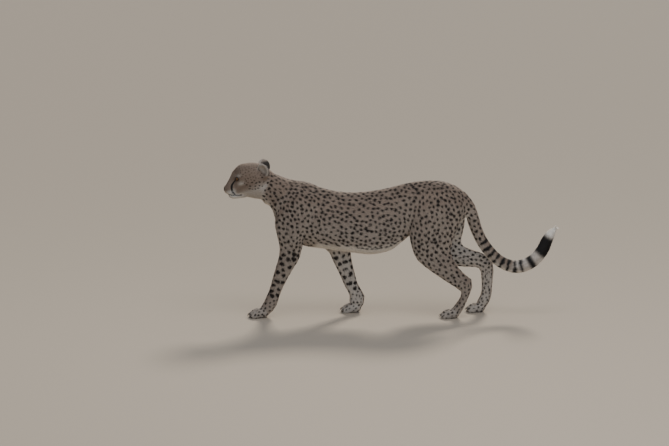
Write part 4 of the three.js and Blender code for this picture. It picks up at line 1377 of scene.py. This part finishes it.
def make_tufts(name, root, up, lie_at, long, wide, thick, nearest, axis):
    """One piece of coat from the roots of its leaves, with their directions and sizes."""
    n = len(root)
    across = unit(np.cross(up, lie_at))
    swing = rng.normal(0, 0.10, n) + 0.14 * waves(to_drawing(root), 9)
    along = unit(lie_at + across * swing[:, None])
    across = unit(np.cross(up, along))
    points, waist, tip = leaf_points(root, up, along, across, long[:, None], wide[:, None], thick[:, None])
    faces = (np.arange(n)[:, None, None] * 5 + LEAF_FACES).reshape(-1, 3)
    ob = mesh_object(name, points.reshape(-1, 3), faces)
    write_values(ob, leaf_colours(waist, tip, up, nearest))
    shading = leaf_shading(points, up, along, across)
    ob.data.normals_split_custom_set(shading.reshape(-1, 3).astype(np.float32))
    corner = (unwrap(to_drawing(root), axis)[:, None, :] + PATCH).reshape(-1, 2)[faces.ravel()]
    ob.data.uv_layers.new(name="OFBake").data.foreach_set("uv", corner.astype(np.float32).ravel())
    ob.data.materials.append(fur_paint)
    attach(ob, "root")
    return len(faces)


total = 0
for name, axis in AXES.items():
    of_piece = np.flatnonzero(piece_at == name)
    shares = np.array_split(of_piece, math.ceil(len(of_piece) * len(LEAF_FACES) / MOST_TRIANGLES))
    for index, ids in enumerate(shares):
        who = owner[ids]
        made = make_tufts(f"{name}_{index + 1}", roots[ids], normal[who], lie[who], length_at[ids],
                          width_at[ids], depth[who], who, axis)
        total += made
        print(name, index + 1, made)
print("tufts", len(owner), "with", total, "triangles")

# %% [markdown]
# ## Eyeballs
# A cheetah's eye is large, amber-brown and round-pupilled, and faces forward and out. A plain ball would do
# for a toy; a real eye swells at the cornea and shows rings round one pole. Each ball is therefore built in
# rings from its pupil outward, and keeps for each point its angle from the pupil, which tells its colour.

# %% Eyeballs
SIDE_NAMES = {LEFT: "left", RIGHT: "right"}
RING_POINTS = 64
RINGS = 48
CORNEA_SWELL = 1.3


def ring_faces(rings, count, closed=False):
    """Four-sided faces between rings of points, from each ring to the next."""
    last = rings if closed else rings - 1
    faces = []
    for i in range(last):
        here = i * count
        after = (i + 1) % rings * count
        for j in range(count):
            k = (j + 1) % count
            faces.append((here + j, here + k, after + k, after + j))
    return faces


def eyeball(side):
    gaze, back, up = eye_axes(side)
    angles = np.linspace(0, math.pi, RINGS + 1)
    turn = np.linspace(0, 2 * math.pi, RING_POINTS, endpoint=False)
    reach = EYE_RADIUS + CORNEA_SWELL * np.exp(-(angles / 0.5) ** 2)
    ring = np.cos(turn)[:, None] * back + np.sin(turn)[:, None] * up
    points = np.cos(angles)[:, None, None] * gaze + np.sin(angles)[:, None, None] * ring[None]
    points = (reach[:, None, None] * points).reshape(-1, 3) + eye_centre(side)
    faces = ring_faces(RINGS + 1, RING_POINTS)
    if side == LEFT:
        faces = [f[::-1] for f in faces]
    ob = mesh_object(f"eyeball_{SIDE_NAMES[side]}", to_frame(points), faces)
    write_values(ob, {"off_axis": np.repeat(np.degrees(angles), RING_POINTS)})
    return ob


eyeballs = {side: eyeball(side) for side in (LEFT, RIGHT)}
print("eyes look out by", round(math.degrees(GAZE_OUT)), "degrees")

# %% [markdown]
# ## Paint of the eye
# The pupil is black and round, the iris is amber and darker at its rim, and all round it is dark. The angle
# from the pupil runs through a colour ramp, and a weak noise breaks up the iris. A clear coat gives the wet
# shine.

# %% Paint of the eye
WIDEST_ANGLE = 60.0
# share of the widest angle, colour
EYE_RINGS = (
    (0.2, (0.003, 0.002, 0.002, 1)), (0.235, (0.21, 0.092, 0.017, 1)), (0.42, (0.15, 0.062, 0.012, 1)),
    (0.6, (0.07, 0.026, 0.008, 1)), (0.68, (0.008, 0.006, 0.005, 1)), (0.8, (0.02, 0.014, 0.012, 1)),
)


def eye_material():
    made = plain_paint("eye_amber", (0.2, 0.1, 0.03), 0.1, 0.5)
    tree = made.node_tree
    tree.nodes["Principled BSDF"].inputs["Specular IOR Level"].default_value = 0.15
    rings = tree.nodes.new("ShaderNodeValToRGB")
    angle = tree.nodes.new("ShaderNodeMath")
    angle.operation = "DIVIDE"
    tree.links.new(attribute(tree, "off_axis"), angle.inputs[0])
    angle.inputs[1].default_value = WIDEST_ANGLE
    tree.links.new(angle.outputs[0], rings.inputs["Fac"])
    stops = rings.color_ramp.elements
    for index, (at, colour) in enumerate(EYE_RINGS):
        stop = stops[index] if index < 2 else stops.new(at)
        stop.position = at
        stop.color = colour
    streak = new_node(tree, "ShaderNodeTexNoise", Scale=420.0, Detail=3.0)
    place = tree.nodes.new("ShaderNodeTexCoord")
    tree.links.new(place.outputs["Object"], streak.inputs["Vector"])
    mixed = mix_colour(tree, 0.35, rings.outputs["Color"], streak.outputs["Color"], "OVERLAY")
    tree.links.new(mixed, tree.nodes["Principled BSDF"].inputs["Base Color"])
    return made


eye_paint = eye_material()
for side, ball in eyeballs.items():
    ball.data.materials.append(eye_paint)
    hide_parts(f"eye_{SIDE_NAMES[side]}")
    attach(ball, "root")
print("paint", eye_paint.name)

# %% [markdown]
# ## Edges of the lids
# The bare black edge of the lids frames the eye and draws out into a point at the inner corner, where the
# tear line starts. Painting it on would leave a gap between skin and ball, so it is a thin closed roll that
# lies over both.

# %% Edges of the lids


def closed_roll(name, line, radius, sides):
    """A smooth roll along a closed line, with one radius for each place of it."""
    along = unit(np.roll(line, -1, 0) - np.roll(line, 1, 0))
    side = unit(np.cross(along, along.mean(0) + (0.3, 0.2, 0.9)))
    up = np.cross(side, along)
    turn = np.linspace(0, 2 * math.pi, sides, endpoint=False)
    ring = np.cos(turn)[None, :, None] * side[:, None] + np.sin(turn)[None, :, None] * up[:, None]
    points = (line[:, None] + radius[:, None, None] * ring).reshape(-1, 3)
    return mesh_object(name, to_frame(points), ring_faces(len(line), sides, closed=True))


lid_paint = plain_paint("lid_leather", (0.011, 0.009, 0.009), 0.35)
from_corner = almond()[:, 0] + OPENING[0] / 2
roll_radius = 0.95 + 0.9 * np.exp(-(from_corner / 4) ** 2)
for side, label in SIDE_NAMES.items():
    lids = closed_roll(f"lids_{label}", lid_line(side), roll_radius, 10)
    lids.data.materials.append(lid_paint)
    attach(lids, "root")
print("lid rolls are", [round(2 * float(v), 1) for v in (roll_radius.min(), roll_radius.max())], "mm thick")

# %% [markdown]
# ## Whiskers
# A cheetah's whiskers are short, fine and pale. They grow in rows from the pad beside the nose and sweep
# back and down. Curves would be the usual way, but they are no solid mesh, so each whisker is a thin bent
# cone of three sides, with its root sunk in the pad.

# %% Whiskers
WHISKER_LENGTH = 30
LONGER_TO_THE_BACK = 9
WHISKER_RINGS = 8
WHISKER_SIDES = 3
WHISKER_TURN = np.array([0, 2.094, 4.189])


def whisker(root, side, row, place):
    """The rings of points of one whisker, from its sunk root to its tip."""
    long = WHISKER_LENGTH + LONGER_TO_THE_BACK * place + rng.uniform(-4, 4)
    aim = unit(np.array([0.45 + 0.1 * place, side * 0.9, -0.15 - 0.12 * row + rng.uniform(-0.06, 0.06)]))
    sag = np.array([0.45, 0, -0.42]) * long
    t = np.linspace(-0.06, 1, WHISKER_RINGS)[:, None]
    line = root + aim * long * t + sag * np.maximum(t, 0) ** 2
    radius = 0.34 * (1 - np.clip(t, 0, 1) ** 1.5) + 0.03
    across = unit(np.cross(aim, (0, 0, 1)))
    ring = np.cos(WHISKER_TURN)[:, None] * across + np.sin(WHISKER_TURN)[:, None] * np.cross(across, aim)
    return (line[:, None] + radius[:, None] * ring[None]).reshape(-1, 3)


strands = [whisker(root, side, *divmod(index, WHISKERS_IN_ROW))
           for side in (LEFT, RIGHT) for index, root in enumerate(whisker_roots[side])]
one_strand = np.array(ring_faces(WHISKER_RINGS, WHISKER_SIDES))
strand_faces = [one_strand + i * WHISKER_RINGS * WHISKER_SIDES for i in range(len(strands))]
whiskers = mesh_object("whiskers", to_frame(np.concatenate(strands)), np.concatenate(strand_faces))
whiskers.data.materials.append(plain_paint("whisker_white", (0.75, 0.72, 0.66), 0.4))
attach(whiskers, "root")
print(len(strands), "whiskers")

# %% [markdown]
# ## Claws
# A cheetah cannot draw its claws fully in, so blunt dark tips show in front of every toe. A new mesh would
# only repeat the solids of the claws, so these are shown themselves, rounded by subdivision and painted
# like horn.

# %% Claws
horn = plain_paint("claw_horn", (0.03, 0.023, 0.019), 0.35)
claws = [ob for name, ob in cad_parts.items() if "claw" in name]
for ob in claws:
    ob.data.materials.clear()
    ob.data.materials.append(horn)
    ob.data.shade_smooth()
    ob.modifiers.new("round", "SUBSURF").levels = 1
print("claws", len(claws))
